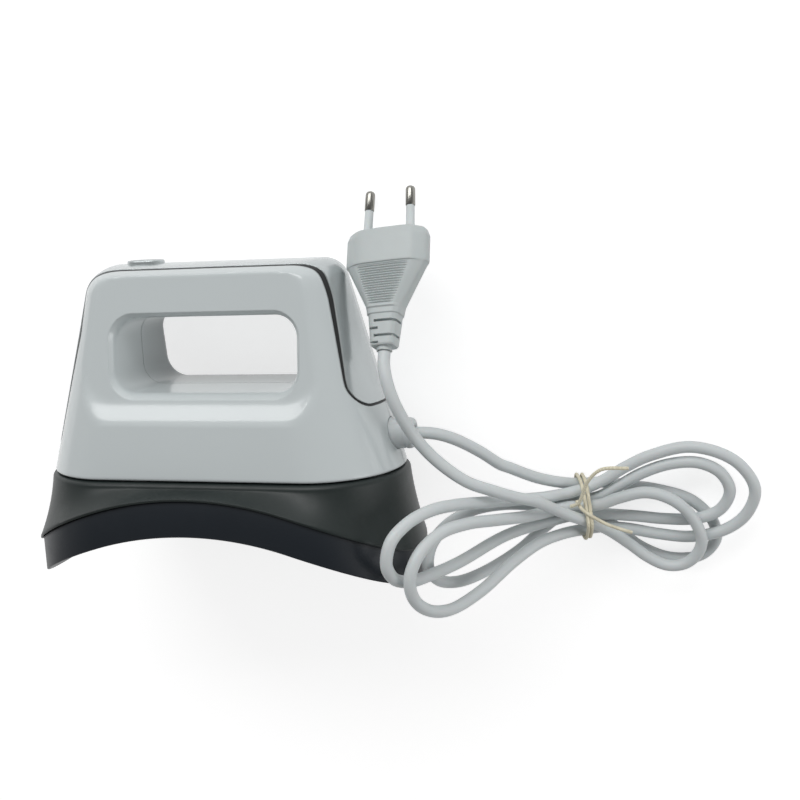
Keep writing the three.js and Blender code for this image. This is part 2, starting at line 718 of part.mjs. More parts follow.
piece('terminal_block', onBoard(terminalFrom, terminalLength, terminalWidth, 0, 0.37 * boardRoom), leadBlue);
for (const [i, [x, y]] of heaterLeads.entries()) {
  const from = archAt(x, pressingSkin + fit + heaterThickness) + fit;
  piece(`heater_lead_${i + 1}`, rod('z', leadDiameter / 2, from, boardBottom - fit, x, y, 10), copperRed);
}
piece('sensor_lead', rod('z', 0.7, sensorFloor + 3 + fit, boardBottom - fit, ...sensorPlace, 8), whiteNylon);

// Cord gland, clamp and the cord inside the housing
const glandBore = cordDiameter / 2 + fit;
const glandRadius = glandDiameter / 2;
const flangeFrom = clampPlace + 15.2;
piece('cord_gland', turned([[glandBore, flangeFrom], [glandFlange / 2, flangeFrom],
  [glandFlange / 2, flangeFrom + 2.2], [glandRadius, flangeFrom + 2.2], [glandRadius, glandTip - 1.6],
  [glandRadius - 0.5, glandTip - 0.5], [glandRadius - 1.6, glandTip], [glandBore, glandTip],
  [glandBore, flangeFrom]], 'x', 0, glandHeight, 24), cordGrey);
const cordInnerEnd = clampPlace - clampHalfLength - 1.5;
piece('cord_inside', rod('x', cordDiameter / 2, cordInnerEnd, glandTip - fit, 0, glandHeight, 12), cordGrey);
let clamp = box(clampPlace - clampHalfLength, clampPlace + clampHalfLength, -clampHalfWidth, clampHalfWidth,
  glandHeight - cordDiameter / 2, glandHeight + cordDiameter / 2 + 3)
  .subtract(rod('x', glandBore, 0, 100, 0, glandHeight, 14))
  .subtract(box(0, 100, -glandBore, glandBore, glandHeight - 10, glandHeight));
for (const y of [-clampScrewY, clampScrewY]) {
  clamp = clamp.subtract(rod('z', screwRadius * 0.8 + fit, 0, 100, clampPlace, y, 10));
}
piece('cord_clamp', clamp, whiteNylon);
for (const [i, y] of [-clampScrewY, clampScrewY].entries()) {
  const radius = screwRadius * 0.8;
  const head = glandHeight + cordDiameter / 2 + 3 + fit;
  piece(`clamp_screw_${i + 1}`, turned([[0, deckTop + 4], [radius, deckTop + 5], [radius, head],
    [radius * 2, head], [radius * 2, head + 1.2], [0, head + 1.6]], 'z', clampPlace, y, 10), springSteel);
}
const leadColours = [copperRed, leadBlue];
for (const [i, y] of [-1.15, 1.15].entries()) {
  const blockFace = boardRear - 3 + fit;
  piece(`mains_lead_${i + 1}`, cable([[cordInnerEnd - fit, y, glandHeight], [cordInnerEnd - 2.5, 1.4 * y, glandHeight + 0.3],
    [blockFace + 4, 2.6 * y, seat + 4.4], [blockFace, 2.8 * y, seat + 4.4]], 1.8, 10), leadColours[i]);
}

// Button, its bezel, its switch and the small board under it
const bezelTop = housingTop + bezelStand;
const barrelLength = bezelLength - 2;
const barrelWidth = bezelWidth - 2;
const buttonLength = bezelLength - 2 * bezelWall - 2 * fit;
const buttonWidth = bezelWidth - 2 * bezelWall - 2 * fit;
const bezelBottom = housingTop - housingWall - fit - frameWall - 0.6;
const bezelOpening = pillBar(buttonPlace, bezelLength - 2 * bezelWall, bezelWidth - 2 * bezelWall, 100, 200);
const bezelRing = (grow, z) => pillOutline(bezelLength / 2 + grow, bezelLength / 2 + grow, bezelWidth / 2 + grow, 7, 1)
  .map(([x, y]) => [buttonPlace + x, y, z]);
piece('button_bezel', loft([bezelRing(0, housingTop + fit), bezelRing(0, bezelTop - 0.7), bezelRing(-0.7, bezelTop)])
  .add(pillBar(buttonPlace, barrelLength, barrelWidth, bezelBottom, housingTop + fit + 0.2))
  .subtract(bezelOpening), beltPlastic);
const capRing = (grow, z) => pillOutline(buttonLength / 2 + grow, buttonLength / 2 + grow, buttonWidth / 2 + grow, 7, 1)
  .map(([x, y]) => [buttonPlace + x, y, z]);
const buttonTop = housingTop + buttonStand;
const flangeTop = bezelBottom - fit;
const plungerTop = buttonBoardTop + 4.5;
const lensPocket = pillBar(buttonPlace, lensLength + 2 * fit, lensWidth + 2 * fit, buttonTop - 0.8, buttonTop + 1);
piece('power_button', loft([capRing(0, flangeTop - buttonFlange), capRing(0, buttonTop - 0.6),
  capRing(-0.5, buttonTop - 0.15), capRing(-1.2, buttonTop)])
  .add(pillBar(buttonPlace, buttonLength + 1.6, buttonWidth + 1.6, flangeTop - buttonFlange, flangeTop))
  .add(rod('z', 1.5, plungerTop + fit, flangeTop, buttonPlace, 0, 12))
  .subtract(lensPocket), whitePlastic);
piece('button_lens', pillBar(buttonPlace, lensLength, lensWidth, buttonTop - 0.5, buttonTop + 0.1), lensGrey);
const switchTop = buttonBoardTop + fit + 3.2;
piece('tact_switch', box(buttonPlace - 3, buttonPlace + 3, -3, 3, buttonBoardTop + fit, switchTop)
  .subtract(rod('z', 1.6, buttonBoardTop + fit + 0.6, switchTop + 1, buttonPlace, 0, 12)), blackPlastic);
piece('switch_plunger', rod('z', 1.3, plungerTop - 2.4, plungerTop, buttonPlace, 0, 12), whiteNylon);
piece('button_board', box(buttonBoardFront, buttonBoardRear, -8, 8, buttonBoardBottom, buttonBoardTop), boardGreen);
piece('indicator_led', turned([[0, buttonBoardTop + fit], [1.5, buttonBoardTop + fit], [1.5, buttonBoardTop + 2.2],
  [1, buttonBoardTop + 3], [0, buttonBoardTop + 3.2]], 'z', buttonPlace + 6, 0, 12), lensGrey);
const cableRun = boardFront - 5.5;
const cableFoot = boardFront + 5;
const cableFall = [[buttonBoardFront - fit, 0, buttonBoardBottom + boardThickness / 2],
  [buttonBoardFront - 3, 0, buttonBoardBottom + 0.7], [cableRun + 3.5, 0, handleRoof - 3],
  [cableRun + 0.5, 0, handleRoof - 15.8], [cableRun, 0, handleSill], [cableRun + 3.5, 0, (handleSill + boardTop) / 2],
  [cableFoot - 1, 0, boardTop + 5], [cableFoot, 0, boardTop + 3], [cableFoot, 0, boardTop + fit]];
piece('button_cable', cable(cableFall, 2.4, 22, 6), whiteNylon);

// The standing press is tipped onto its rear side until base and top both touch the table
const corners = [];
for (const mesh of forms) {
  const position = mesh.geometry.attributes.position;
  for (let i = 0; i < position.count; i += 1) corners.push(new THREE.Vector3().fromBufferAttribute(position, i));
}
function furthest(points, tilt) {
  const reach = (p) => p.y * Math.cos(tilt) + p.z * Math.sin(tilt);
  return points.reduce((best, p) => (reach(p) > reach(best) ? p : best));
}
const baseCorners = corners.filter((p) => p.z < housingBottom);
const topCorners = corners.filter((p) => p.z > handleRoof);
let restTilt = 0;
for (let i = 0; i < 12; i += 1) {
  const low = furthest(baseCorners, restTilt);
  const high = furthest(topCorners, restTilt);
  restTilt = Math.atan2(low.y - high.y, high.z - low.z);
}
const lay = -Math.PI / 2 - restTilt;
press.rotation.x = lay;
const laid = corners.map((p) => p.clone().applyAxisAngle(new THREE.Vector3(1, 0, 0), lay));
const laidBox = new THREE.Box3().setFromPoints(laid);
press.position.set(0, -(laidBox.min.y + laidBox.max.y) / 2, -laidBox.min.z);

// From here on everything is placed on the table, where the laid press lies
const whole = new THREE.Group();
whole.add(press);
function loose(name, geometry, material) {
  const mesh = new THREE.Mesh(geometry, material);
  mesh.name = name;
  whole.add(mesh);
  return mesh;
}
function pointOnPress(x, y, z) {
  return new THREE.Vector3(x, y, z).applyAxisAngle(new THREE.Vector3(1, 0, 0), lay).add(press.position);
}

// The loops lie on a sheet that is flat on the table at the right and rises over the plate's end at the left.
// A place on it is [x, y, height above the sheet's lowest strand].
function onSheet([x, y, above]) {
  const steep = 1 / (1 + Math.exp((x - sheetFoot) / sheetBend));
  const height = sheetFloor + sheetSlope * sheetBend * Math.log(1 + Math.exp((sheetFoot - x) / sheetBend));
  const slope = sheetSlope * steep;
  const length = Math.hypot(1, slope);
  return [x + above * slope / length, y, height + above / length];
}

// Level heights of the strands in the tied waist and in the loops
const low = 0;
const mid = 6;
const high = 12;
const gland = pointOnPress(glandTip + fit, 0, glandHeight);
const hankStart = [[120.8, -29.8, low - 1.8], [129.2, -37.6, low - 0.3], [137.8, -42.4, low + 0.5]];
const loops = [
  [[146, -45, low], [157, -45.5, low], [168, -47.5, low], [180, -49.5, low], [194, -54.5, low], [203, -65, low],
    [204, -74, low], [197.5, -82, low], [185, -83.5, low], [172, -78, low], [160, -66.5, low], [153, -60.5, low],
    [146, -58, low], [139, -59, low], [131, -63.5, low], [121, -69.5, low], [108, -71.5, low], [99, -69, low], [93, -63, low], [90.3, -54.5, low],
    [91.8, -46, low], [97, -40.7, low], [106, -40, low], [117, -44.5, low], [129, -50.5, low + 0.5]],
  [[138, -51, low + 2], [146, -51, low + 3.8], [154, -49.5, mid - 0.5], [163, -44.5, mid], [173, -38.5, mid], [185, -34, mid], [196.5, -33.3, mid],
    [205.5, -37.8, mid], [209.5, -46.5, mid], [205.5, -55.5, mid], [196, -60, mid], [183, -60.5, mid],
    [168, -59, mid], [146, -57, mid], [131, -57, mid], [113.5, -55, mid], [97, -55.5, mid], [89, -54, mid],
    [82, -51.5, mid], [77.5, -46.5, mid], [75.7, -38.5, mid], [77.7, -30, mid], [83, -26, mid],
    [90, -26, mid], [98, -29.5, mid], [108, -35.5, mid],
    [119, -41, mid], [131, -45, mid]],
  [[146, -45, mid], [156, -41.5, mid], [166, -35.5, mid], [177, -30, mid], [194, -26, mid], [211, -32, mid],
    [219.5, -45, mid], [216.5, -57, mid], [208, -65, mid], [194, -69, mid], [180, -68, mid], [167, -65.5, mid],
    [156, -64, mid + 0.5], [146, -63, mid + 3], [134, -61.5, high - 0.5], [123, -61.5, high], [112, -64.5, high],
    [100, -69.5, high], [90, -69.5, high], [83.5, -64, high], [79.5, -55, high], [79, -45, high],
    [82.5, -37, high], [89, -33.5, high], [97, -35.5, high], [107, -41, high], [118, -46.5, high - 0.5], [129, -50.5, high - 3.5]],
  [[138, -51, high - 4], [146, -51, high - 2.2], [154, -50, high - 0.5], [163, -47, high], [175, -44.5, high], [186, -48, high], [194, -56, high],
    [198, -67.5, high], [195.5, -75, high], [190, -79.5, high], [183, -80, high], [175, -76, high], [167, -69.5, high],
    [157, -62, high + 0.5], [146, -56, high + 2], [138, -52, high + 3.5]],
];
const hankEnd = [[130, -47, high + 4], [124, -42.2, high + 4.2]];
const hankPoints = [...hankStart, ...loops.flat(), ...hankEnd].map(onSheet);
const hankSteps = 116;
const hankCurve = new THREE.CatmullRomCurve3(hankPoints.map((p) => new THREE.Vector3(...p)), false, 'centripetal');

// Least gap between one strand of the hank and another
function leastSelfGap(curve, diameter) {
  const count = 1400;
  const points = curve.getSpacedPoints(count);
  const step = curve.getLength() / count;
  const apart = Math.ceil(5 * diameter / step);
  let least = Infinity;
  let where = null;
  for (let i = 0; i < count; i += 1) {
    for (let j = i + apart; j <= count; j += 1) {
      const distance = points[i].distanceTo(points[j]);
      if (distance < least) {
        least = distance;
        where = [points[i], points[j]];
      }
    }
  }
  return [least - diameter, where];
}
const [hankGap, hankPlace] = leastSelfGap(hankCurve, cordDiameter);
console.log('least gap between strands of the hank', hankGap.toFixed(2), JSON.stringify(hankPlace));
if (hankGap < gapLeast) console.log('strands closer than', gapLeast);
console.log('hank length', hankCurve.getLength().toFixed(0));
loose('cord_hank', cable(hankPoints, cordDiameter, hankSteps, 6), cordGrey);

// The stretch from the gland to the hank
const start = hankPoints[0];
const pressPath = [gland.toArray(), [gland.x + 4.5, gland.y, gland.z], [94.3, -6.9, 38.3], [100.6, -10.4, 36],
  [109, -18.6, 30.4]];
const towards = (from, to, reach) => {
  const way = new THREE.Vector3(...to).sub(new THREE.Vector3(...from)).setLength(reach);
  return new THREE.Vector3(...from).add(way).toArray();
};
const pressEnd = towards(start, hankPoints[1], -cordClear);
pressPath.push(towards(start, hankPoints[1], -5.5), pressEnd);
loose('cord_press_stretch', cable(pressPath, cordDiameter, 18), cordGrey);

// The plug lies with its pins' tips on the table and its tail up. In its own frame it points along +Z.
const reliefEnd = new THREE.Vector3(77.3, 33, 46.3);
const pitch = plugPitch * Math.PI / 180;
const yaw = plugYaw * Math.PI / 180;
const roll = plugRoll * Math.PI / 180;
const plugAxis = new THREE.Vector3(Math.sin(yaw) * Math.cos(pitch), Math.cos(yaw) * Math.cos(pitch), Math.sin(pitch));
const levelAcross = new THREE.Vector3(Math.cos(yaw), -Math.sin(yaw), 0);
const plugAcross = levelAcross.clone().multiplyScalar(Math.cos(roll))
  .addScaledVector(new THREE.Vector3().crossVectors(levelAcross, plugAxis), Math.sin(roll));
const plugPose = new THREE.Matrix4().makeBasis(plugAcross, new THREE.Vector3().crossVectors(plugAxis, plugAcross), plugAxis)
  .setPosition(reliefEnd);
const taperFrom = reliefLength;
const headFrom = taperFrom + plugTaper;
const headTo = headFrom + plugHead;
function plugRing(along, width, depth, corner) {
  const outline = roundedOutline([[-width, -depth], [width, -depth], [width, depth], [-width, depth]],
    [corner, corner, corner, corner], 3);
  return outline.map(([x, y]) => [x, y, along]);
}
const reliefDepth = plugDepth / 2 - 1.6;
const plugBody = loft([
  plugRing(0, 3.2, 3.2, 3.1), plugRing(1.6, 3.2, 3.2, 3.1), plugRing(1.7, 4.9, 4.4, 3.2),
  plugRing(taperFrom - 0.2, 6.4, reliefDepth, 3.4), plugRing(taperFrom, 7.2, reliefDepth + 0.6, 3.4),
  plugRing(headFrom, plugWidth / 2 - 0.3, plugDepth / 2 - 0.2, 3.6), plugRing(headFrom + 1, plugWidth / 2, plugDepth / 2, 3.6),
  plugRing(headTo - 3.5, plugWidth / 2, plugDepth / 2, 3.6), plugRing(headTo - 0.8, plugWidth / 2 - 1.5, plugDepth / 2 - 0.3, 3.4),
  plugRing(headTo, plugWidth / 2 - 2.3, plugDepth / 2 - 1.1, 2.8),
]);
let plug = plugBody;
const socketDepth = 4;
for (const side of [-1, 1]) {
  plug = plug.subtract(rod('z', pinDiameter / 2 + fit, headTo - socketDepth, headTo + 5, side * pinSpacing / 2, 0, 12));
}
loose('plug_body', geometryOf(plug).applyMatrix4(plugPose), cordGrey);
for (const [i, side] of [-1, 1].entries()) {
  const radius = pinDiameter / 2;
  const pinFrom = headTo - socketDepth + fit;
  const tip = headTo + pinLength;
  const pin = geometryOf(turned([[0, pinFrom], [radius, pinFrom], [radius, tip - 1.2], [radius * 0.8, tip - 0.4],
    [radius * 0.35, tip], [0, tip]], 'z', 0, 0, 14));
  const lean = Math.atan2(-side * pinLean, pinLength);
  pin.translate(0, 0, -headTo).rotateY(lean).translate(side * pinSpacing / 2, 0, headTo);
  loose(`plug_pin_${i + 1}`, pin.applyMatrix4(plugPose), nickel);
}

// The stretch from the plug over the gland to the hank
const end = hankPoints[hankPoints.length - 1];
const beforeEnd = hankPoints[hankPoints.length - 2];
const tail = reliefEnd.clone().addScaledVector(plugAxis, -cordClear).toArray();
const plugPath = [tail, reliefEnd.clone().addScaledVector(plugAxis, -5.8).toArray(), [78.8, 23.2, 53.1], [80.8, 16.6, 54.8],
  [83.6, 8.2, 54.4], [87.2, -0.6, 52.8], [92.4, -9, 51.6], [99, -16, 51.2], [107, -22.5, 50.2], [115.5, -27.5, 47.2],
  [124, -33.3, 42], towards(end, beforeEnd, -5.5), towards(end, beforeEnd, -cordClear)];
loose('cord_plug_stretch', cable(plugPath, cordDiameter, 34), cordGrey);

// Paper-covered wire tie round the waist: a closed ring with two tails
const waistPlace = 146;
const ringPoints = [[-41.1, 0], [-41.1, 6], [-43, 9.6], [-53.4, 17.2], [-56.4, 18], [-59.8, 16.6], [-65.4, 12.4],
  [-66.9, 8.8], [-66.4, 5.4], [-62, -1.8], [-58.6, -4.1], [-45, -4.1], [-42, -2.8]];
const ringCurve = new THREE.CatmullRomCurve3(ringPoints.map(([y, above]) => new THREE.Vector3(...onSheet([waistPlace, y, above]))), true);
let tie = solidOf(new THREE.TubeGeometry(ringCurve, 28, tieDiameter / 2, 6, true));
const tails = [
  [[144.2, -48.4, 21.8], [147.5, -46.2, 22.8], [149.8, -41, 23.6], [152.2, -34.6, 24.4], [158, -28.6, 25.4], [169, -28, 25.2]],
  [[146.6, -46.2, 20.6], [149.2, -49, 23.2], [153.6, -52.2, 23.6], [160, -56.4, 22.8], [169.4, -61, 20.6]],
];
for (const points of tails) tie = tie.add(solidOf(cable(points, tieDiameter, 10, 6)));
loose('twist_tie', geometryOf(tie), tieCream);

export default whole;
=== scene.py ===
# %% [markdown]
# # A hat heat press, lying on its side with its cord tied up
#
# The real thing is a small hand-held iron with a curved plate, for pressing transfers onto hats.
# It has a white two-part housing, a pearly band over its back, a charcoal shroud and a dark coated
# plate. Its mains cord is folded into four loops, tied at the waist, and ends in a flat plug.
# The solid parts come packed from the CAD model. This lesson dresses them: it loads them as a fixed
# frame, puts the camera and the cord in place, models smooth versions of what shows, and gives
# every surface a finish made of nodes.

# %% Load the frame
import json
from math import (acos, atan, atan2, copysign, cos, degrees, dist, exp, hypot, log, pi, radians, sin, sqrt,
                  tan)

import bpy
import numpy as np
from mathutils import Matrix, Vector


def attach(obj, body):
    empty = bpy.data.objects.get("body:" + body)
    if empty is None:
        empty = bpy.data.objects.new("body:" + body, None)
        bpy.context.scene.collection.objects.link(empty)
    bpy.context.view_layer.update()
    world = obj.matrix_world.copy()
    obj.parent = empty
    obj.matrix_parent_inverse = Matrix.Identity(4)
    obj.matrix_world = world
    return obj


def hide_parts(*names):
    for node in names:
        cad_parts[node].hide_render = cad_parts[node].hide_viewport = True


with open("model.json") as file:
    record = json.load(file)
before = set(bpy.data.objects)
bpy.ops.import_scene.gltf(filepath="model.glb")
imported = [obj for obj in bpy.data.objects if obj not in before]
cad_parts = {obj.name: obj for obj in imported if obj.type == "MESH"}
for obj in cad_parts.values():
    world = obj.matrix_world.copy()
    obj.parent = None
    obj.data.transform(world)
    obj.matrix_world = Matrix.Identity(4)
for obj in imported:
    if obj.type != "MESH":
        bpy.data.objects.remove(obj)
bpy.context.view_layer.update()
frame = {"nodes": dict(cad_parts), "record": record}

# %% [markdown]
# ## From the standing press to the laid one
# The press is easiest to describe standing on its plate, in millimetres, with its length along X and
# its shown side at -Y. The CAD tips it onto its rear side and works in metres. One matrix holds that
# move, so each piece can be shaped upright and laid down when it is finished.

# %% The lay-down
MM = 0.001
LAY_TURN = -1.80920686185485
LAY_SHIFT = (0.0, -66.01774, 53.72311)
laid = Matrix.Scale(MM, 4) @ Matrix.Translation(LAY_SHIFT) @ Matrix.Rotation(LAY_TURN, 4, "X")
on_table = Matrix.Scale(MM, 4)
print("the press is tipped by", round(degrees(LAY_TURN), 2), "degrees")

# %% [markdown]
# ## The camera
# The photograph was taken from above the table, a little to the right of the press. Its place was
# fitted to the outline of the plate and the housing, seen as if the press stood upright, so the
# camera is built in the standing frame and laid down with everything else.

# %% Camera
CAMERA_AIM = Vector((0.0, 0.0, 75.0))
CAMERA_AWAY = 480.785
CAMERA_FROM = (24.149, 9.34)
CAMERA_FACES = (14.964, 9.797)
CAMERA_ROLL = -2.693
FOCAL_PIXELS = 1109.239
PHOTO_PIXELS = 800
SENSOR = 36.0


def direction(azimuth, elevation):
    a, e = radians(azimuth), radians(elevation)
    return Vector((sin(a) * cos(e), -cos(a) * cos(e), sin(e)))


def swung(vector, towards, angle):
    """A unit vector turned towards another at a right angle to it."""
    return vector * cos(radians(angle)) + towards * sin(radians(angle))


def added(name, data):
    made = bpy.data.objects.new(name, data)
    bpy.context.collection.objects.link(made)
    return made


turn_only = Matrix.Rotation(LAY_TURN, 3, "X")
eye = laid @ (CAMERA_AIM + CAMERA_AWAY * direction(*CAMERA_FROM))
back = direction(*CAMERA_FACES)
right = direction(CAMERA_FACES[0] + 90.0, 0.0)
up = back.cross(right)
axes = [swung(right, up, CAMERA_ROLL), swung(up, -right, CAMERA_ROLL), back]
axes = Matrix([turn_only @ axis for axis in axes]).transposed()
camera_data = bpy.data.cameras.new("photo_camera")
camera_data.sensor_width = SENSOR
camera_data.lens = FOCAL_PIXELS / PHOTO_PIXELS * SENSOR
camera_data.clip_start, camera_data.clip_end = 0.01, 20.0
camera = added("photo_camera", camera_data)
camera.matrix_world = Matrix.Translation(eye) @ axes.to_4x4()
bpy.context.scene.camera = camera
print("camera at", [round(c, 3) for c in eye], "lens", round(camera_data.lens, 2))

# %% [markdown]
# ## Writing shader maths as Python
# A material is a graph of nodes. Adding every Math node by hand hides the idea, so a small class
# wraps a socket and overloads the operators: an expression on values adds its own nodes. Any other
# node comes from one method that takes its type, its inputs and its settings. A closed finish is kept
# under its name. For most of them that is also the slot of the pieces that wear it.


# %% The wire and the finish builder
def grey(shade):
    return (shade, shade, shade, 1.0)


class Wire:
    def __init__(self, finish, socket):
        self.finish, self.socket = finish, socket

    def maths(self, operation, first, second):
        return self.finish.node("ShaderNodeMath", {0: first, 1: second}, operation=operation)

    def __add__(self, other): return self.maths("ADD", self, other)
    def __radd__(self, other): return self.maths("ADD", other, self)
    def __sub__(self, other): return self.maths("SUBTRACT", self, other)
    def __mul__(self, other): return self.maths("MULTIPLY", self, other)
    def most(self, other): return self.maths("MAXIMUM", self, other)


finishes = {}


class Finish:
    def __init__(self, name, owner=None):
        self.name, self.owner = name, owner or bpy.data.materials.new(name)
        self.owner.use_nodes = True
        self.tree = self.owner.node_tree
        self.tree.nodes.clear()

    def node(self, kind, inputs=None, output=0, **settings):
        made = self.tree.nodes.new(kind)
        for key, value in settings.items():
            setattr(made, key, value)
        for key, value in (inputs or {}).items():
            socket = made.inputs[key]
            if isinstance(value, Wire):
                self.tree.links.new(value.socket, socket)
            else:
                socket.default_value = value
        return Wire(self, made.outputs[output])

    def place(self):
        return self.node("ShaderNodeTexCoord", output="Object")

    def stretched(self, scale):
        return self.node("ShaderNodeMapping", {"Vector": self.place(), "Scale": scale})

    def noise(self, scale, detail=3.0, roughness=0.5, at=None):
        return self.node("ShaderNodeTexNoise", {
            "Vector": at or self.place(), "Scale": scale, "Detail": detail, "Roughness": roughness})

    def ramp(self, wire, *stops):
        """Shades of grey along a wire's value, from stops of (value, shade)."""
        made = self.node("ShaderNodeValToRGB", {"Fac": wire})
        elements = made.socket.node.color_ramp.elements
        while len(elements) < len(stops):
            elements.new(0.5)
        for element, (place, shade) in zip(elements, stops):
            element.position, element.color = place, grey(shade)
        return made

    def blend(self, share, first, second):
        return self.node("ShaderNodeMix", {0: share, 6: first, 7: second}, output=2, data_type="RGBA")

    def bump(self, height, depth, strength, under=None):
        inputs = {"Height": height, "Distance": depth, "Strength": strength}
        if under:
            inputs["Normal"] = under
        return self.node("ShaderNodeBump", inputs)

    def soft_edges(self, radius):
        return self.node("ShaderNodeBevel", {"Radius": radius}, samples=6)

    def show(self, shader, output="ShaderNodeOutputMaterial"):
        end = self.tree.nodes.new(output)
        self.tree.links.new(shader.socket, end.inputs["Surface"])
        return self.owner

    def close(self, inputs):
        finishes[self.name] = self.show(self.node("ShaderNodeBsdfPrincipled", inputs))


def colour(red, green, blue):
    """The linear colour of an ordinary 0 to 255 screen colour."""
    def linear(c):
        c /= 255
        return c / 12.92 if c <= 0.04045 else ((c + 0.055) / 1.055) ** 2.4
    return (linear(red), linear(green), linear(blue), 1.0)


print("finish builder ready")

# %% [markdown]
# ## Moulded white plastic
# The housing is glossy moulded plastic. It is not a flat white: the moulding leaves a very faint
# waviness that bends reflections, the gloss differs a little from place to place, and handling
# leaves soft dull patches. The Bevel node rounds the narrow edges of cuts, which catch the light.


# %% White plastic and the pearly band
def gloss_plastic(name, base, shade, roughness, edge, metallic=0.0, coat=0.25, flake=0.0):
    finish = Finish(name)
    broad = finish.noise(22.0, 4.0)
    fine = finish.noise(900.0, 2.0)
    wear = finish.ramp(finish.noise(9.0, 2.0, 0.4), (0.3, 0.0), (0.75, 1.0))
    tint = finish.blend(broad, base, shade)
    if flake:
        sparkle = finish.ramp(finish.noise(2600.0, 1.0), (0.35, 0.0), (0.75, 1.0))
        tint = finish.blend(sparkle * flake, tint, grey(1.0))
    gloss = roughness + wear * 0.03 + broad * 0.02
    rounded = finish.soft_edges(edge)
    peel = finish.bump(finish.noise(150.0, 1.0), 0.00003, 0.15, rounded)
    normal = finish.bump(fine, 0.00001, 0.12, peel)
    finish.close({
        "Base Color": tint, "Roughness": gloss, "Metallic": metallic, "Normal": normal,
        "Coat Weight": coat, "Coat Roughness": 0.12, "IOR": 1.49})


SEAM_EDGE = 0.0009
gloss_plastic("white_plastic", colour(208, 215, 216), colour(204, 211, 212), 0.2, SEAM_EDGE)
gloss_plastic("band_plastic", colour(186, 192, 193), colour(181, 187, 188), 0.24, 0.0006,
              metallic=0.55, coat=0.35, flake=0.05)
gloss_plastic("button_plastic", colour(226, 229, 229), colour(219, 223, 224), 0.2, 0.0003)
print("gloss plastics made")

# %% [markdown]
# ## Satin shroud and coated plate
# The shroud is a heat-proof plastic with a fine spark-eroded grain, so its highlights are broad. The
# plate is cast aluminium under a dark ceramic coating: nearly black with a blue cast, with tiny
# pale specks and light rubbing on its pressing face.


# %% Shroud and plate
def satin_plastic(name, base, shade, roughness, edge, grain):
    finish = Finish(name)
    broad = finish.noise(14.0, 5.0, 0.6)
    grainy = finish.noise(1500.0, 3.0, 0.7)
    rub = finish.ramp(finish.noise(70.0, 8.0, 0.7), (0.5, 0.0), (0.8, 1.0))
    tint = finish.blend(broad, base, shade)
    tint = finish.blend(rub * 0.05, tint, (0.2, 0.22, 0.21, 1.0))
    normal = finish.bump(grainy, grain, 0.6, finish.soft_edges(edge))
    finish.close({
        "Base Color": tint, "Roughness": roughness + grainy * 0.12 - rub * 0.06, "Normal": normal,
        "Specular IOR Level": 0.4})


def ceramic_coating(name):
    finish = Finish(name)
    speck = finish.node("ShaderNodeTexVoronoi", {"Vector": finish.place(), "Scale": 1400.0})
    dots = finish.ramp(speck, (0.05, 1.0), (0.16, 0.0))
    rub = finish.ramp(finish.noise(90.0, 9.0, 0.72), (0.52, 0.0), (0.85, 1.0))
    streaks = finish.noise(3.0, 6.0, 0.6, finish.stretched((12.0, 400.0, 400.0)))
    scratch = finish.ramp(streaks, (0.62, 0.0), (0.72, 1.0))
    tint = finish.blend(finish.noise(30.0, 4.0), colour(24, 31, 39), colour(20, 27, 34))
    tint = finish.blend(dots * 0.08, tint, colour(110, 118, 128))
    tint = finish.blend(scratch * 0.05, tint, colour(86, 92, 100))
    normal = finish.bump(finish.noise(1100.0, 3.0), 0.00003, 0.5, finish.soft_edges(0.0005))
    finish.close({
        "Base Color": tint, "Roughness": 0.44 + rub * 0.14 - scratch * 0.08, "Normal": normal,
        "Metallic": 0.0, "Specular IOR Level": 0.45})


satin_plastic("shroud_grey", colour(31, 40, 39), colour(27, 35, 34), 0.38, 0.0007, 0.00003)
ceramic_coating("plate_coating")
print("dark finishes made")

# %% [markdown]
# ## Cord sleeve, tie, metals and the hidden pieces
# The cord and the plug are one soft, slightly dull PVC. The tie is paper round a wire, so it is
# creased across. The pins are nickel-plated brass, drawn lengthwise and rubbed round. Pieces inside
# the housing hardly show, but each has its own plain finish with grain and a little unevenness.


# %% Cord sleeve, paper tie and metals
def cord_sleeve(name, base, shade, roughness):
    finish = Finish(name)
    broad = finish.noise(35.0, 4.0)
    dust = finish.ramp(finish.noise(300.0, 7.0, 0.7), (0.5, 0.0), (0.9, 1.0))
    tint = finish.blend(broad, base, shade)
    tint = finish.blend(dust * 0.1, tint, colour(170, 172, 168))
    normal = finish.bump(finish.noise(700.0, 4.0), 0.00003, 0.45, finish.soft_edges(0.0003))
    finish.close({
        "Base Color": tint, "Roughness": roughness + dust * 0.15 + broad * 0.06, "Normal": normal,
        "Subsurface Weight": 0.04, "Subsurface Scale": 0.002, "IOR": 1.5})


def paper_tie(name):
    finish = Finish(name)
    across = finish.node("ShaderNodeTexWave", {
        "Vector": finish.place(), "Scale": 380.0, "Distortion": 5.0, "Detail": 3.0},
        bands_direction="DIAGONAL")
    fibre = finish.noise(1500.0, 6.0, 0.7)
    tint = finish.blend(across * 0.5, colour(232, 226, 203), colour(203, 195, 168))
    finish.close({
        "Base Color": tint, "Roughness": 0.62 + fibre * 0.2,
        "Normal": finish.bump(across + fibre, 0.00012, 0.6)})


def metal(name, base, shade, roughness, drawn=(60.0, 60.0, 60.0)):
    finish = Finish(name)
    lines = finish.noise(20.0, 5.0, 0.6, finish.stretched(drawn))
    tarnish = finish.ramp(finish.noise(160.0, 6.0, 0.65), (0.45, 0.0), (0.8, 1.0))
    finish.close({
        "Base Color": finish.blend(tarnish * 0.4, base, shade), "Metallic": 1.0,
        "Roughness": roughness + lines * 0.12 + tarnish * 0.08,
        "Normal": finish.bump(lines, 0.00002, 0.3)})


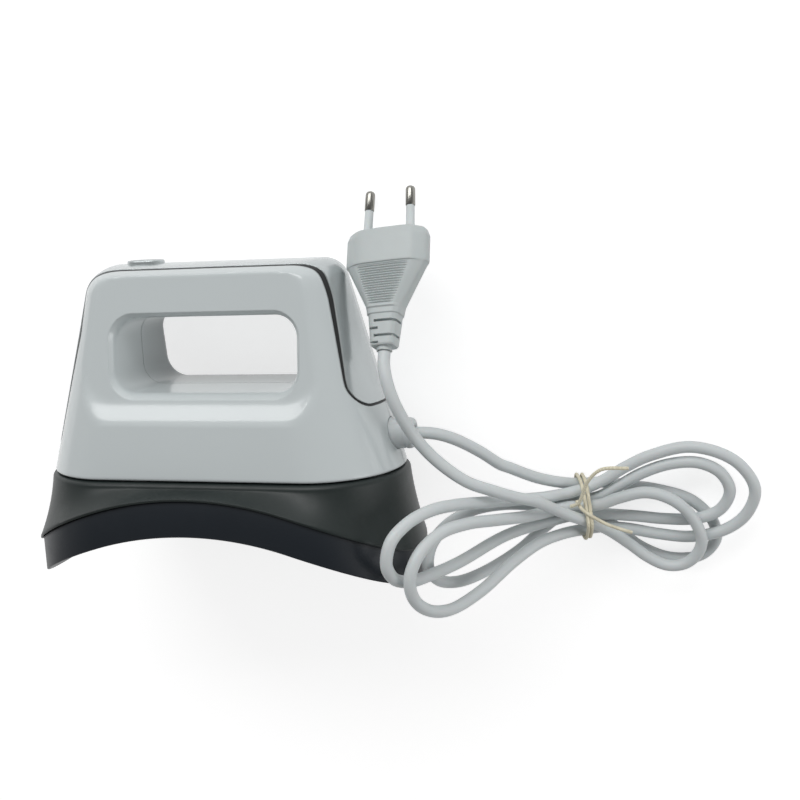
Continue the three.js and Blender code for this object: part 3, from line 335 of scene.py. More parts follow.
def plain_finish(name, base, roughness, grain_scale, grain_depth):
    finish = Finish(name)
    grain = finish.noise(grain_scale, 5.0, 0.65)
    darker = tuple(c * 0.82 for c in base[:3]) + (1.0,)
    finish.close({
        "Base Color": finish.blend(grain, base, darker), "Roughness": roughness + grain * 0.12,
        "Normal": finish.bump(grain, grain_depth, 0.5)})


cord_sleeve("cord_grey", colour(214, 219, 220), colour(205, 211, 212), 0.4)
cord_sleeve("plug_grey", colour(196, 203, 203), colour(190, 197, 197), 0.42)
paper_tie("tie_cream")
metal("nickel", colour(146, 145, 140), colour(112, 110, 102), 0.14, (300.0, 40.0, 300.0))
print("cord, tie and nickel made")

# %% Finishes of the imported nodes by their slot
plain_finish("seam_black", colour(24, 26, 27), 0.5, 800.0, 0.00003)
metal("steel", colour(186, 189, 190), colour(150, 151, 150), 0.26)
metal("aluminium", colour(201, 203, 204), colour(172, 174, 176), 0.34)
for name, base, roughness, grain_scale, grain_depth in (
        ("mica", (154, 123, 82), 0.5, 160.0, 0.00006),
        ("glass_wool", (216, 211, 196), 0.85, 420.0, 0.0005),
        ("board_green", (31, 90, 58), 0.42, 260.0, 0.00003),
        ("black_plastic", (30, 31, 33), 0.45, 700.0, 0.00002),
        ("white_nylon", (222, 219, 210), 0.48, 500.0, 0.00002),
        ("copper_red", (168, 58, 44), 0.45, 500.0, 0.00002),
        ("lead_blue", (47, 95, 156), 0.45, 500.0, 0.00002),
        ("lens_grey", (141, 148, 150), 0.3, 400.0, 0.00001)):
    plain_finish(name, colour(*base), roughness, grain_scale, grain_depth)
slot_of = {part["node"]: part["material_slot"] for part in frame["record"]["subparts"]}
for node_name, node_object in frame["nodes"].items():
    node_object.data.materials.clear()
    node_object.data.materials.append(finishes[slot_of[node_name]])
print("finishes on", len(slot_of), "nodes")

# %% [markdown]
# ## The cord
# The photograph shows the cord from end to end: it leaves the gland, is folded into four loops that
# are tied at the waist, and comes back over the press to the plug. On the left the loops ride up
# over the plate's end, on the right they lie on the table. The route follows a smooth curve through
# the same points as the CAD's solids, so the drawn cord lies exactly where they are. A curve with a
# round bevel is the natural tool, because its own line is the cord's centreline.


# %% The route
def vectors(*places):
    return [Vector(place) for place in places]


CORD_DIAMETER = 5.0
SHEET_SLOPE, SHEET_BEND, SHEET_FOOT, SHEET_FLOOR = 1.5, 12.0, 130.6, 2.7
LOW, MID, HIGH = 0.0, 6.0, 12.0


def on_sheet(x, y, above):
    """A place on the sheet that the loops lie on: flat at the right, rising over the plate at the left."""
    steep = 1 / (1 + exp((x - SHEET_FOOT) / SHEET_BEND))
    height = SHEET_FLOOR + SHEET_SLOPE * SHEET_BEND * log(1 + exp((SHEET_FOOT - x) / SHEET_BEND))
    slope = SHEET_SLOPE * steep
    length = hypot(1, slope)
    return Vector((x + above * slope / length, y, height + above / length))


def at_level(level, places):
    """Places of a loop with the level of its strand. A third number lifts a place off that level."""
    return [(x, y, level + sum(lift)) for x, y, *lift in places]


first_loop = at_level(LOW, [
    (120.8, -29.8, -1.8), (129.2, -37.6, -0.3), (137.8, -42.4, 0.5), (146, -45), (157, -45.5),
    (168, -47.5), (180, -49.5), (194, -54.5), (203, -65), (204, -74), (197.5, -82), (185, -83.5),
    (172, -78), (160, -66.5), (153, -60.5), (146, -58), (139, -59), (131, -63.5), (121, -69.5),
    (108, -71.5), (99, -69), (93, -63), (90.3, -54.5), (91.8, -46), (97, -40.7), (106, -40),
    (117, -44.5), (129, -50.5, 0.5)])
second_loop = at_level(MID, [
    (138, -51, -4), (146, -51, -2.2), (154, -49.5, -0.5), (163, -44.5), (173, -38.5), (185, -34),
    (196.5, -33.3), (205.5, -37.8), (209.5, -46.5), (205.5, -55.5), (196, -60), (183, -60.5),
    (168, -59), (146, -57), (131, -57), (113.5, -55), (97, -55.5), (89, -54), (82, -51.5),
    (77.5, -46.5), (75.7, -38.5), (77.7, -30), (83, -26), (90, -26), (98, -29.5), (108, -35.5),
    (119, -41), (131, -45)])
third_loop = at_level(MID, [
    (146, -45), (156, -41.5), (166, -35.5), (177, -30), (194, -26), (211, -32), (219.5, -45),
    (216.5, -57), (208, -65), (194, -69), (180, -68), (167, -65.5), (156, -64, 0.5)])
third_loop += at_level(HIGH, [
    (146, -63, -3), (134, -61.5, -0.5), (123, -61.5), (112, -64.5), (100, -69.5), (90, -69.5),
    (83.5, -64), (79.5, -55), (79, -45), (82.5, -37), (89, -33.5), (97, -35.5), (107, -41),
    (118, -46.5, -0.5), (129, -50.5, -3.5)])
fourth_loop = at_level(HIGH, [
    (138, -51, -4), (146, -51, -2.2), (154, -50, -0.5), (163, -47), (175, -44.5), (186, -48),
    (194, -56), (198, -67.5), (195.5, -75), (190, -79.5), (183, -80), (175, -76), (167, -69.5),
    (157, -62, 0.5), (146, -56, 2), (138, -52, 3.5), (130, -47, 4), (124, -42.2, 4.2)])
hank = [on_sheet(*place) for place in first_loop + second_loop + third_loop + fourth_loop]
print("hank points:", len(hank))

# %% The two stretches and the whole curve
GLAND_TIP, GLAND_HEIGHT, FIT = 84.2, 62.0, 0.3
PLUG_PITCH, PLUG_YAW, PLUG_ROLL = -38.6, -2.4, 6.0
relief_end = Vector((77.3, 33.0, 46.3))
plug_axis, level_across = direction(180.0 - PLUG_YAW, PLUG_PITCH), direction(90.0 - PLUG_YAW, 0.0)
plug_across = swung(level_across, level_across.cross(plug_axis), PLUG_ROLL)
gland_mouth = (laid @ Vector((GLAND_TIP + FIT, 0.0, GLAND_HEIGHT))) / MM


def beyond(start, towards, reach):
    return start + (towards - start).normalized() * reach


INTO_HANK = 5.5
press_stretch = [gland_mouth, gland_mouth + Vector((4.5, 0, 0)),
                 *vectors((94.3, -6.9, 38.3), (100.6, -10.4, 36), (109, -18.6, 30.4)),
                 beyond(hank[0], hank[1], -INTO_HANK)]
plug_stretch = [relief_end - 0.3 * plug_axis, relief_end - 5.8 * plug_axis,
                *vectors((78.8, 23.2, 53.1), (80.8, 16.6, 54.8), (83.6, 8.2, 54.4), (87.2, -0.6, 52.8),
                         (92.4, -9, 51.6), (99, -16, 51.2), (107, -22.5, 50.2), (115.5, -27.5, 47.2),
                         (124, -33.3, 42)), beyond(hank[-1], hank[-2], -INTO_HANK)]
route = press_stretch + hank + plug_stretch[::-1]


def smooth_curve(points, steps):
    """Points along a centripetal Catmull-Rom curve, as the CAD's cable follows it."""
    ends = [2 * points[0] - points[1], *points, 2 * points[-1] - points[-2]]
    line = []
    for a, b, c, d in zip(ends, ends[1:], ends[2:], ends[3:]):
        t1, t2, t3 = (max((q - p).length, 1e-4) ** 0.5 for p, q in ((a, b), (b, c), (c, d)))
        m1 = ((b - a) / t1 - (c - a) / (t1 + t2) + (c - b) / t2) * t2
        m2 = ((c - b) / t2 - (d - b) / (t2 + t3) + (d - c) / t3) * t2
        for i in range(steps):
            t = i / steps
            line.append((2 * t**3 - 3 * t**2 + 1) * b + (t**3 - 2 * t**2 + t) * m1
                        + (3 * t**2 - 2 * t**3) * c + (t**3 - t**2) * m2)
    return line + [points[-1]]


def tube(name, lines, diameter, finish, closed=0):
    """A curve object of one or more lines with a round bevel. The first few can be closed rings."""
    data = bpy.data.curves.new(name, "CURVE")
    data.dimensions = "3D"
    data.bevel_depth = diameter / 2 * MM
    data.bevel_resolution = 5
    data.use_fill_caps = True
    for i, line in enumerate(lines):
        spline = data.splines.new("POLY")
        spline.points.add(len(line) - 1)
        for point, place in zip(spline.points, line):
            point.co = (*(place * MM), 1.0)
        spline.use_cyclic_u = i < closed
        spline.use_smooth = True
    data.materials.append(finishes[finish])
    return added(name, data)


cord_line = smooth_curve(route, 7)
cord_length = sum((b - a).length for a, b in zip(cord_line, cord_line[1:])) * MM
cord = tube("mains_cord", [cord_line], CORD_DIAMETER, "cord_grey")
print("cord length", round(cord_length, 3), "m,", len(cord_line), "points")

# %% [markdown]
# ## Skins from rings
# The housing, the shroud, the plate and the plug are moulded forms whose cross-section changes
# smoothly. Extruding and bevelling a box by hand can't follow their formulas, so each starts as a
# grid primitive: its columns go round the form and its rows go along it. The vertices are put on
# the formula, the seam is merged, and an end row that is gathered onto the middle line closes it.


# %% Helpers for meshes
def select_only(piece):
    bpy.ops.object.select_all(action="DESELECT")
    piece.select_set(True)
    bpy.context.view_layer.objects.active = piece


FINE_WELD = 0.0005


def skin(name, rings, weld=0.002):
    """A closed mesh through rings of points in millimetres. Rows that meet in a line or point close it."""
    rings = np.asarray(rings, float)
    rows, count = rings.shape[:2]
    bpy.ops.object.select_all(action="DESELECT")
    bpy.ops.mesh.primitive_grid_add(x_subdivisions=count, y_subdivisions=rows - 1, size=1)
    piece = bpy.context.object
    piece.name = name
    flat = np.empty(len(piece.data.vertices) * 3)
    piece.data.vertices.foreach_get("co", flat)
    flat = flat.reshape(-1, 3)
    column = np.rint((flat[:, 0] + 0.5) * count).astype(int) % count
    row = np.rint((flat[:, 1] + 0.5) * (rows - 1)).astype(int)
    piece.data.vertices.foreach_set("co", rings[row, column].ravel())
    select_only(piece)
    bpy.ops.object.mode_set(mode="EDIT")
    bpy.ops.mesh.select_all(action="SELECT")
    bpy.ops.mesh.remove_doubles(threshold=weld)
    bpy.ops.mesh.normals_make_consistent(inside=False)
    bpy.ops.object.mode_set(mode="OBJECT")
    return piece


def combine(piece, tool, operation="DIFFERENCE"):
    """Cuts a piece with another, or joins or intersects them, by an applied Boolean modifier."""
    select_only(piece)
    bpy.ops.object.modifier_add(type="BOOLEAN")
    modifier = piece.modifiers[-1]
    modifier.operation = operation
    modifier.solver = "MANIFOLD"
    modifier.object = tool
    bpy.ops.object.modifier_apply(modifier=modifier.name)
    bpy.data.objects.remove(tool, do_unlink=True)
    return piece


def block(x0, x1, y0, y1, z0, z1):
    """A box as a cutting tool between two values on each axis."""
    bpy.ops.object.select_all(action="DESELECT")
    bpy.ops.mesh.primitive_cube_add(size=1)
    tool = bpy.context.object
    tool.data.transform(Matrix.Translation(((x0 + x1) / 2, (y0 + y1) / 2, (z0 + z1) / 2))
                        @ Matrix.Diagonal((x1 - x0, y1 - y0, z1 - z0, 1)))
    return tool


def finished(piece, slot, *nodes, finish=None, sharp=40.0, place=laid, body="press"):
    """Lays a finished piece down, shades it, gives it its finish, ties it to its body and hides its nodes.
    It wears the finish of its slot unless another is named."""
    piece.data.transform(place)
    piece.data.materials.clear()
    piece.data.materials.append(finishes[finish or slot])
    select_only(piece)
    bpy.ops.object.shade_smooth_by_angle(angle=radians(sharp))
    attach(piece, body)
    if nodes:
        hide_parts(*nodes)
    piece.data.update()
    print(piece.name, len(piece.data.polygons), "faces")
    return piece


print("mesh helpers ready")

# %% [markdown]
# ## The housing's form
# Seen from above the housing is a pill: straight sides and half-round ends. Its ends and sides lean
# in with height, its shoulders are rounded and its crown is a wide arch. These few sizes are the
# CAD's own, so the smooth skin lies on the same solid.

# %% Housing sizes and profiles
HOUSING_TOP, HOUSING_BOTTOM, WALL = 135.0, 48.5, 2.2
HALF_WIDTH, SIDE_LEAN, SIDE_FILLET, CROWN_RADIUS, EDGE_ROUND = 35.5, 0.118, 9.0, 56.0, 1.2
# each end's reach at its foot, how much it leans in with height, and the radius of its top corner
FRONT_END, REAR_END = (77.3, 0.279, 15.3), (79.3, 0.267, 10.0)
# height below the top where the rows grow closer, and the last row's distance from the top
CROWN_ZONE, CROWN_GAP = 19.0, 0.03


def leaning(reach, lean, z, inset):
    """How far a wall that leans in with height reaches at a height, drawn in by an inset."""
    return reach - lean * (z - HOUSING_BOTTOM) - inset / cos(atan(lean))


def arc_reach(radius, rise):
    """How far an arc stands out at a height above its centre."""
    return sqrt(max(0.0, radius**2 - rise**2))


crown_centre = HOUSING_TOP - CROWN_RADIUS
fillet_reach = leaning(HALF_WIDTH, SIDE_LEAN, 0.0, SIDE_FILLET)
square = 1 + SIDE_LEAN**2
linear_part = SIDE_LEAN * fillet_reach + crown_centre
rest_part = fillet_reach**2 + crown_centre**2 - (CROWN_RADIUS - SIDE_FILLET) ** 2
fillet_centre = (linear_part + sqrt(linear_part**2 - square * rest_part)) / square


def end_reach(z, end, inset=0.0):
    reach, lean, corner = end
    centre_height, radius = HOUSING_TOP - corner, corner - inset
    if z <= centre_height + radius * sin(atan(lean)):
        return leaning(reach, lean, z, inset)
    return leaning(reach, lean, centre_height, corner) + arc_reach(radius, z - centre_height)


def half_width_at(z, inset=0.0):
    radius = SIDE_FILLET - inset
    if z <= fillet_centre + radius * sin(atan(SIDE_LEAN)):
        return leaning(HALF_WIDTH, SIDE_LEAN, z, inset)
    joint = (fillet_centre - crown_centre) / (CROWN_RADIUS - SIDE_FILLET)
    if z <= crown_centre + (CROWN_RADIUS - inset) * joint:
        wall = leaning(HALF_WIDTH, SIDE_LEAN, fillet_centre, SIDE_FILLET)
        return wall + arc_reach(radius, z - fillet_centre)
    return arc_reach(CROWN_RADIUS - inset, z - crown_centre)


def skin_at(x, z, inset=0.0):
    """How far the housing's skin, drawn in by an inset, stands from the middle plane."""
    half = half_width_at(z, inset)
    front = half - end_reach(z, FRONT_END, inset)
    rear = end_reach(z, REAR_END, inset) - half
    return arc_reach(half, max(front - x, x - rear, 0.0))


def round_over(radius, count, start=0.0, end=pi / 2):
    """How far each place along a rounded edge is drawn in from the wall and lies below the top."""
    turns = np.linspace(start, end, count)
    return [(radius * (1 - cos(turn)), radius * (1 - sin(turn))) for turn in turns]


def pill(front, rear, half, end_steps, side_steps):
    """A pill outline from its front tip round by -Y and back by +Y, with mirrored halves."""
    front_centre, rear_centre = half - front, rear - half
    turns = np.linspace(0, pi / 2, end_steps + 1)
    side = [(front_centre - half * cos(turn), -half * sin(turn)) for turn in turns]
    side += [(x, -half) for x in np.linspace(front_centre, rear_centre, side_steps + 1)[1:-1]]
    side += [(rear_centre + half * sin(turn), -half * cos(turn)) for turn in turns]
    side[0], side[-1] = (side[0][0], 0.0), (side[-1][0], 0.0)
    return side + [(x, -y) for x, y in side[-2:0:-1]]


def at_height(outline, z):
    return [(x, y, z) for x, y in outline]


def gathered(ring):
    """The same ring drawn onto the middle line, which closes a skin."""
    return [(x, 0.0, z) for x, y, z in ring]


def closed_rings(rings):
    return [gathered(rings[0]), *rings, gathered(rings[-1])]


print("housing half width at mid height", round(half_width_at(90.0), 2))

# %% [markdown]
# ## The sunken panels and the handle opening
# Each side has a flat panel round the handle opening. At its foot a broad ledge leads down to it, and
# at its ends and its top it runs out where the flat meets the housing's rounded shoulders. A Boolean
# would leave a hard, faceted rim, so the skin itself is pressed in: a vertex moves to the flat wherever
# that lies deeper, by how far it lies between the ledge's two outlines.

# %% Rounded outlines and the panel's depth
# front, rear, foot and top of the ledge's outer and inner outline
PANEL_OUTER, PANEL_INNER = (-54, 58, 72, 142), (-49, 53, 79.5, 139)
# depth of the flat at its foot and after its rise, then softness of its ledge and of its shoulders
PANEL_LOW, PANEL_HIGH, PANEL_FOOT, PANEL_RISE = 3.5, 4.7, 79.5, 50.0
PANEL_SOFT, PANEL_BLEND = 0.28, 0.5
# shares of the panel's depth from which a place is moved at all, and is blended with the skin
SHARE_LEAST, SHARE_BLENDED = 0.0005, 0.02
# the opening's front, rear, foot and top
HANDLE = (-35.8, 43.0, 83.2, 113.6)
HANDLE_CORNER, HANDLE_MIDDLE = 9.0, (5.0, 98.0)
BEYOND_SIDE = 46.0
# how far each ring of the mouth stands outside the opening, and how deep it lies below the panel
MOUTH = [(2.3, -0.03), (2.14, 0.12), (1.95, 0.4), (1.6, 0.8), (1.25, 1.2), (0.9, 1.65), (0.6, 2.15),
         (0.35, 2.7), (0.15, 3.4), (0.04, 4.2), (0.0, 5.0)]


def rounded(corners, radii, steps, spacing=None):
    """An outline of straight sides with rounded corners, counter-clockwise. A corner may turn inward."""
    points = []
    for i, corner in enumerate(corners):
        here, before, after = vectors(corner, corners[i - 1], corners[(i + 1) % len(corners)])
        inward, outward = (before - here).normalized(), (after - here).normalized()
        half = acos(inward.dot(outward)) / 2
        centre = here + (inward + outward).normalized() * (radii[i] / sin(half))
        first = here + inward * (radii[i] / tan(half)) - centre
        start = atan2(first.y, first.x)
        sweep = copysign(pi - 2 * half, outward.x * inward.y - outward.y * inward.x)
        for step in range(steps + 1):
            angle = start + sweep * step / steps
            points.append((centre.x + radii[i] * cos(angle), centre.y + radii[i] * sin(angle)))
    if not spacing:
        return points
    filled = []
    for a, b in zip(points, points[1:] + points[:1]):
        run = max(1, round(dist(a, b) / spacing))
        filled += [(a[0] + (b[0] - a[0]) * k / run, a[1] + (b[1] - a[1]) * k / run) for k in range(run)]
    return filled


def rounded_box(front, rear, low, high, *rest):
    return rounded([(front, low), (rear, low), (rear, high), (front, high)], *rest)


def outside_by(points, outline):
    """How far points lie outside a convex outline, or inside it where negative."""
    corners = np.array(outline)
    edges = np.roll(corners, -1, axis=0) - corners
    lengths = np.hypot(edges[:, 0], edges[:, 1])
    keep = lengths > 1e-6
    normals = np.stack([edges[keep, 1], -edges[keep, 0]], 1) / lengths[keep, None]
    return np.max(points @ normals.T - np.sum(corners[keep] * normals, axis=1), axis=1)


panel_rim = rounded_box(*PANEL_OUTER, [16, 18, 8, 8], 16)
panel_floor = rounded_box(*PANEL_INNER, [12, 14, 6, 6], 16)


def soft_ramp(share):
    """From 0 to 1 as share does, with rounded ends."""
    def half_ramp(u):
        bend = (u + PANEL_SOFT) ** 2 / (4 * PANEL_SOFT)
        return np.where(u > PANEL_SOFT, u, np.where(u < -PANEL_SOFT, 0, bend))
    return half_ramp(share) - half_ramp(share - 1)


def panel_share(places):
    """How deep into the panel each place on the side is: 0 outside it and 1 on its floor."""
    outer, inner = outside_by(places, panel_rim), outside_by(places, panel_floor)
    return soft_ramp(-outer / np.maximum(inner - outer, 0.5))


def clamped(share):
    return min(1.0, max(0.0, share))


def side_at(x, z, inset=0.0, share=None):
    """Half width of the housing with its panel. The flat lies a little deeper towards the crown."""
    if share is None:
        share = float(panel_share(np.array([[x, z]]))[0])
    rise = clamped((z - PANEL_FOOT) / PANEL_RISE)
    depth = (PANEL_LOW + (PANEL_HIGH - PANEL_LOW) * rise) * share
    flat = leaning(HALF_WIDTH, SIDE_LEAN, z, inset) - depth
    skin_here = skin_at(x, z, inset)
    mix = clamped(0.5 + 0.5 * (flat - skin_here) / PANEL_BLEND)
    soft = skin_here * mix + flat * (1 - mix) - PANEL_BLEND * mix * (1 - mix)
    return min(skin_here, soft) if share > SHARE_BLENDED else skin_here


def body_form(name, inset, bottom, rows=(10, 22), steps=(14, 24), panels=False):
    """The housing's form, drawn in by an inset, with or without the panels pressed in."""
    rings = []
    for z, drawn in heights_for(inset, bottom, *rows):
        front = end_reach(z, FRONT_END, inset) - drawn
        rear = end_reach(z, REAR_END, inset) - drawn
        rings.append(at_height(pill(front, rear, half_width_at(z, inset) - drawn, *steps), z))
    rings = np.array(rings)
    if panels:
        flat = rings.reshape(-1, 3)
        share = panel_share(flat[:, [0, 2]])
        for i in np.nonzero(share > SHARE_LEAST)[0]:
            x, y, z = flat[i]
            flat[i, 1] = copysign(min(abs(y), side_at(x, z, inset, float(share[i]))), y)
    return skin(name, closed_rings(list(rings)))


def heights_for(inset, bottom, wall_rows, crown_rows):
    """Heights of the rings, with how far each is drawn in at the rounded bottom edge."""
    rows = []
    if inset == 0:
        rows = [(bottom + rise, drawn) for rise, drawn in round_over(EDGE_ROUND, 6)[:5]]
        bottom += EDGE_ROUND
    zone = HOUSING_TOP - CROWN_ZONE
    rows += [(bottom + (zone - bottom) * i / wall_rows, 0.0) for i in range(wall_rows)]
    top = HOUSING_TOP - inset - CROWN_GAP
    turns = np.linspace(0, pi / 2, crown_rows + 1)
    return rows + [(zone + (top - zone) * sin(turn), 0.0) for turn in turns]


print("panel outlines", len(panel_rim), len(panel_floor))

# %% Housing stock: outer form with panels, hollow inside, handle opening through it
HOLLOW_DEPTH = HOUSING_BOTTOM - 10.0


def handle_outline(grow, spacing=None):
    front, rear, low, high = HANDLE
    radii = [HANDLE_CORNER + grow] * 4
    return rounded_box(front - grow, rear + grow, low - grow, high + grow, radii, 14, spacing)


def across(outline, y):
    return [(x, y, z) for x, z in outline]


def handle_bar(name, rings):
    """A bar through the handle, closed at both ends by a point on its middle."""
    caps = [across([HANDLE_MIDDLE] * len(rings[0]), y) for y in (-BEYOND_SIDE, BEYOND_SIDE)]
    return skin(name, [caps[0], *rings, caps[1]])


def grown(outline, grow):
    """The handle's outline moved outward, each place away from the nearest centre of a corner."""
    front, rear, low, high = HANDLE
    places = []
    for x, z in outline:
        near_x = max(front + HANDLE_CORNER, min(rear - HANDLE_CORNER, x))
        near_z = max(low + HANDLE_CORNER, min(high - HANDLE_CORNER, z))
        away = Vector((x - near_x, z - near_z))
        away = away.normalized() * (away.length + grow)
        places.append((near_x + away.x, near_z + away.y))
    return places


def handle_cutter():
    base = handle_outline(0.0, 3.0)
    rings = []
    for side in (-1, 1):
        half = [across(grown(base, MOUTH[0][0]), side * BEYOND_SIDE)]
        for grow, depth in MOUTH:
            half.append([(x, side * (side_at(x, z) - depth), z) for x, z in grown(base, grow)])
        rings += half if side < 0 else half[::-1]
    return handle_bar("handle_cutter", rings)


pressed = body_form("pressed_body", 0.0, HOUSING_BOTTOM, (84, 26), (26, 104), panels=True)
hollow = body_form("hollow", WALL, HOLLOW_DEPTH, (40, 12), (12, 52), panels=True)
handle_wall = handle_outline(WALL + 0.6)
handle_wall = handle_bar("bar", [across(handle_wall, y) for y in (-BEYOND_SIDE, BEYOND_SIDE)])
housing = combine(combine(pressed, combine(hollow, handle_wall)), handle_cutter())
print("housing stock:", len(housing.data.polygons), "faces")

# %% [markdown]
# ## The band and its seams
# A band runs over the crown and down both ends, wider at the ends, with an open black seam on each
# side. The shells are cut by the band's end view grown by half a seam, and the band itself is what
# that end view leaves of the plain skin, shrunk by half a seam. A black strip of painted shade fills
# the gap between them, standing for the shade down in the open seam. The seam is wider on the crown,
# where it is seen from its side.

# %% Band cutters
SEAM, BELT_HALF, CROWN_SEAM = 1.1, 13.9, 1.3
BELT_OVERLAP, BELT_REACH, FLARE_ROUND, FRONT_WIDER = 0.5, 100.0, 30, 1.5
# foot, half width at the foot, height where the flare starts, height where it ends, corner
BELT_REAR = (75.8, 20.2, 120.0, 86.0, 9.0)
BELT_FRONT = (58.0, 17.6, 126.0, 108.0, 7.0)


def belt_bar(side, grow, widen=0.0):
    """The band's end view as a bar from the middle past one end, by the sign of X."""
    foot, half, flare_top, flare_low, corner = BELT_REAR if side > 0 else BELT_FRONT
    low, past, corner = foot - grow, HOUSING_TOP + 5, corner + grow
    wide, slim = half + grow + (FRONT_WIDER * widen if side < 0 else 0.0), BELT_HALF + grow + widen
    corners = [(-wide, low), (wide, low), (wide, flare_low), (slim, flare_top), (slim, past),
               (-slim, past), (-slim, flare_top), (-wide, flare_low)]
    flares = [FLARE_ROUND] * 2
    outline = rounded(corners, [corner, corner, *flares, 0.4, 0.4, *flares], 10)
    cap = [(0.0, 100.0)] * len(outline)
    start, end = -side * BELT_OVERLAP, side * BELT_REACH
    rings = [(cap, start), (outline, start), (outline, end), (cap, end)]
    return skin("belt_bar", [[(x, y, z) for y, z in ring] for ring, x in rings])


def belt(grow, widen=0.0):
    return combine(belt_bar(1, grow, widen), belt_bar(-1, grow, widen), "UNION")


combine(housing, combine(belt(SEAM / 2, CROWN_SEAM), body_form("core", WALL + 0.05, HOLLOW_DEPTH)))
print("housing with its seams:", len(housing.data.polygons), "faces")

# %% Front and rear shell
def rod_along(axis, radius, start, end, u, v, sides=48):
    """A round cutting tool along an axis, at the other two coordinates."""
    bpy.ops.object.select_all(action="DESELECT")
    bpy.ops.mesh.primitive_cylinder_add(vertices=sides, radius=radius, depth=end - start)
    tool = bpy.context.object
    quarter, middle = pi / 2, (start + end) / 2
    turn, place = {"x": (Matrix.Rotation(quarter, 4, "Y"), (middle, u, v)), "z": (Matrix(), (u, v, middle)),
                   "y": (Matrix.Rotation(quarter, 4, "X"), (u, middle, v))}[axis]
    tool.data.transform(Matrix.Translation(place) @ turn)
    return tool


GLAND_HOLE, SCREW_HOLE, PARTING = 6.7, 3.3, 0.15
combine(housing, rod_along("x", GLAND_HOLE, 61.0, 95.0, 0.0, GLAND_HEIGHT))
LARGER_X, LARGER_Y, LARGER_Z = (-120, 120), 80, (28, 160)
rear_shell = added("rear_shell_skin", housing.data.copy())
combine(rear_shell, block(*LARGER_X, PARTING, LARGER_Y, *LARGER_Z), "INTERSECT")
front_shell = combine(housing, block(*LARGER_X, -LARGER_Y, -PARTING, *LARGER_Z), "INTERSECT")
front_shell.name = "front_shell_skin"
bar_middle = (HANDLE[3] + HOUSING_TOP) / 2 - 1.5
for x, z in [(-60, 55.5), (60, 55.5), (6, bar_middle), (38, bar_middle)]:
    combine(rear_shell, rod_along("y", SCREW_HOLE, 12.0, 60.0, x, z, 32))
finished(front_shell, "white_plastic", "front_shell", sharp=32.0)
finished(rear_shell, "white_plastic", "rear_shell", sharp=32.0)

# %% The band, cut from the plain skin
BUTTON_X, BEZEL_LENGTH, BEZEL_WIDTH, BEZEL_WALL, BEZEL_STAND = -30.5, 16.2, 11.2, 1.5, 1.4
BAND_STEPS = (26, 90)


def pill_ring(z, inset=0.0, length=BEZEL_LENGTH, width=BEZEL_WIDTH):
    """A ring round the button's middle, drawn in from the bezel's size or another."""
    half, round_half = length / 2 - inset, max(0.01, width / 2 - inset)
    return [(BUTTON_X + x, y, z) for x, y in pill(half, half, round_half, 16, 6)]


band = body_form("centre_band_skin", 0.0, HOUSING_BOTTOM, steps=BAND_STEPS)
combine(band, body_form("core", WALL, HOLLOW_DEPTH))
combine(band, belt(-SEAM / 2), "INTERSECT")
combine(band, skin("pill_bar", closed_rings([pill_ring(z, 0.7) for z in (100.0, 145.0)])))
finished(band, "band_plastic", "centre_band", sharp=32.0)

# %% The black strip of painted shade that fills the seams, a little below the skin
SHADE_STRIP_SINK, SHADE_STRIP_SLACK = 0.3, 0.03
shade_strip = body_form("seam_shade_strip", SHADE_STRIP_SINK, HOUSING_BOTTOM + 2, steps=BAND_STEPS)
combine(shade_strip, body_form("core", WALL + 0.2, HOLLOW_DEPTH))
combine(shade_strip, belt(SEAM / 2 - SHADE_STRIP_SLACK, CROWN_SEAM), "INTERSECT")
combine(shade_strip, belt(SHADE_STRIP_SLACK - SEAM / 2))
# painted shade: this black strip sits under the open seam, where the shade of the hollow would show
finished(shade_strip, "seam_black", sharp=32.0)

# %% [markdown]
# ## Shroud and plate
# The shroud is a skirt that widens from the housing's foot to the plate's arched rim. The plate is a
# thick slab bent to a hat's curve. Both are lofts whose rings go over the rim and back up inside, so
# they are hollow as the real ones are.

# %% Shroud
PLATE_LENGTH, PLATE_WIDTH, PLATE_THICK, ARCH_RISE, OVERHANG = 170.0, 87.0, 14.9, 27.6, 1.2
DECK = 47.9
arch_radius = ((PLATE_LENGTH / 2) ** 2 + ARCH_RISE**2) / (2 * ARCH_RISE)


def arch_at(x, above=0.0):
    return sqrt(arch_radius**2 - min(abs(x), PLATE_LENGTH / 2) ** 2) - (arch_radius - ARCH_RISE) + above


SHROUD_STEPS = (30, 60)
# how far the rings over a narrow edge are drawn in, and how far they lie from its top
EDGE_BREAK = ((0.0, 0.4), (0.12, 0.12), (0.4, 0.0))
SHOULDER, SHOULDER_DROP, RIM_EDGE, SHROUD_WALL = 1.3, 2.2, 1.0, 2.2


def plate_outline(grow):
    half = PLATE_LENGTH / 2 + grow
    return pill(half, half, PLATE_WIDTH / 2 + grow, *SHROUD_STEPS)


def arched(outline, above):
    return [(x, y, arch_at(x, above)) for x, y in outline]


def shoulder(drawn, z):
    return at_height(pill(FRONT_END[0] + drawn, REAR_END[0] + drawn, HALF_WIDTH + drawn, *SHROUD_STEPS), z)


def flare_ring(share):
    """A ring on the way from the shoulder to the rim. It moves out more slowly than it goes down."""
    out = share - 0.5 * share * (1 - share)
    ring = []
    for (x, y, z), (rim_x, rim_y) in zip(shoulder(SHOULDER, DECK - SHOULDER_DROP), plate_outline(OVERHANG)):
        rim_z = arch_at(rim_x, PLATE_THICK + FIT) + RIM_EDGE
        ring.append((x + (rim_x - x) * out, y + (rim_y - y) * out, z + (rim_z - z) * share))
    return ring


def rim_ring(inset, lift):
    return arched(plate_outline(OVERHANG - inset), PLATE_THICK + FIT + lift)


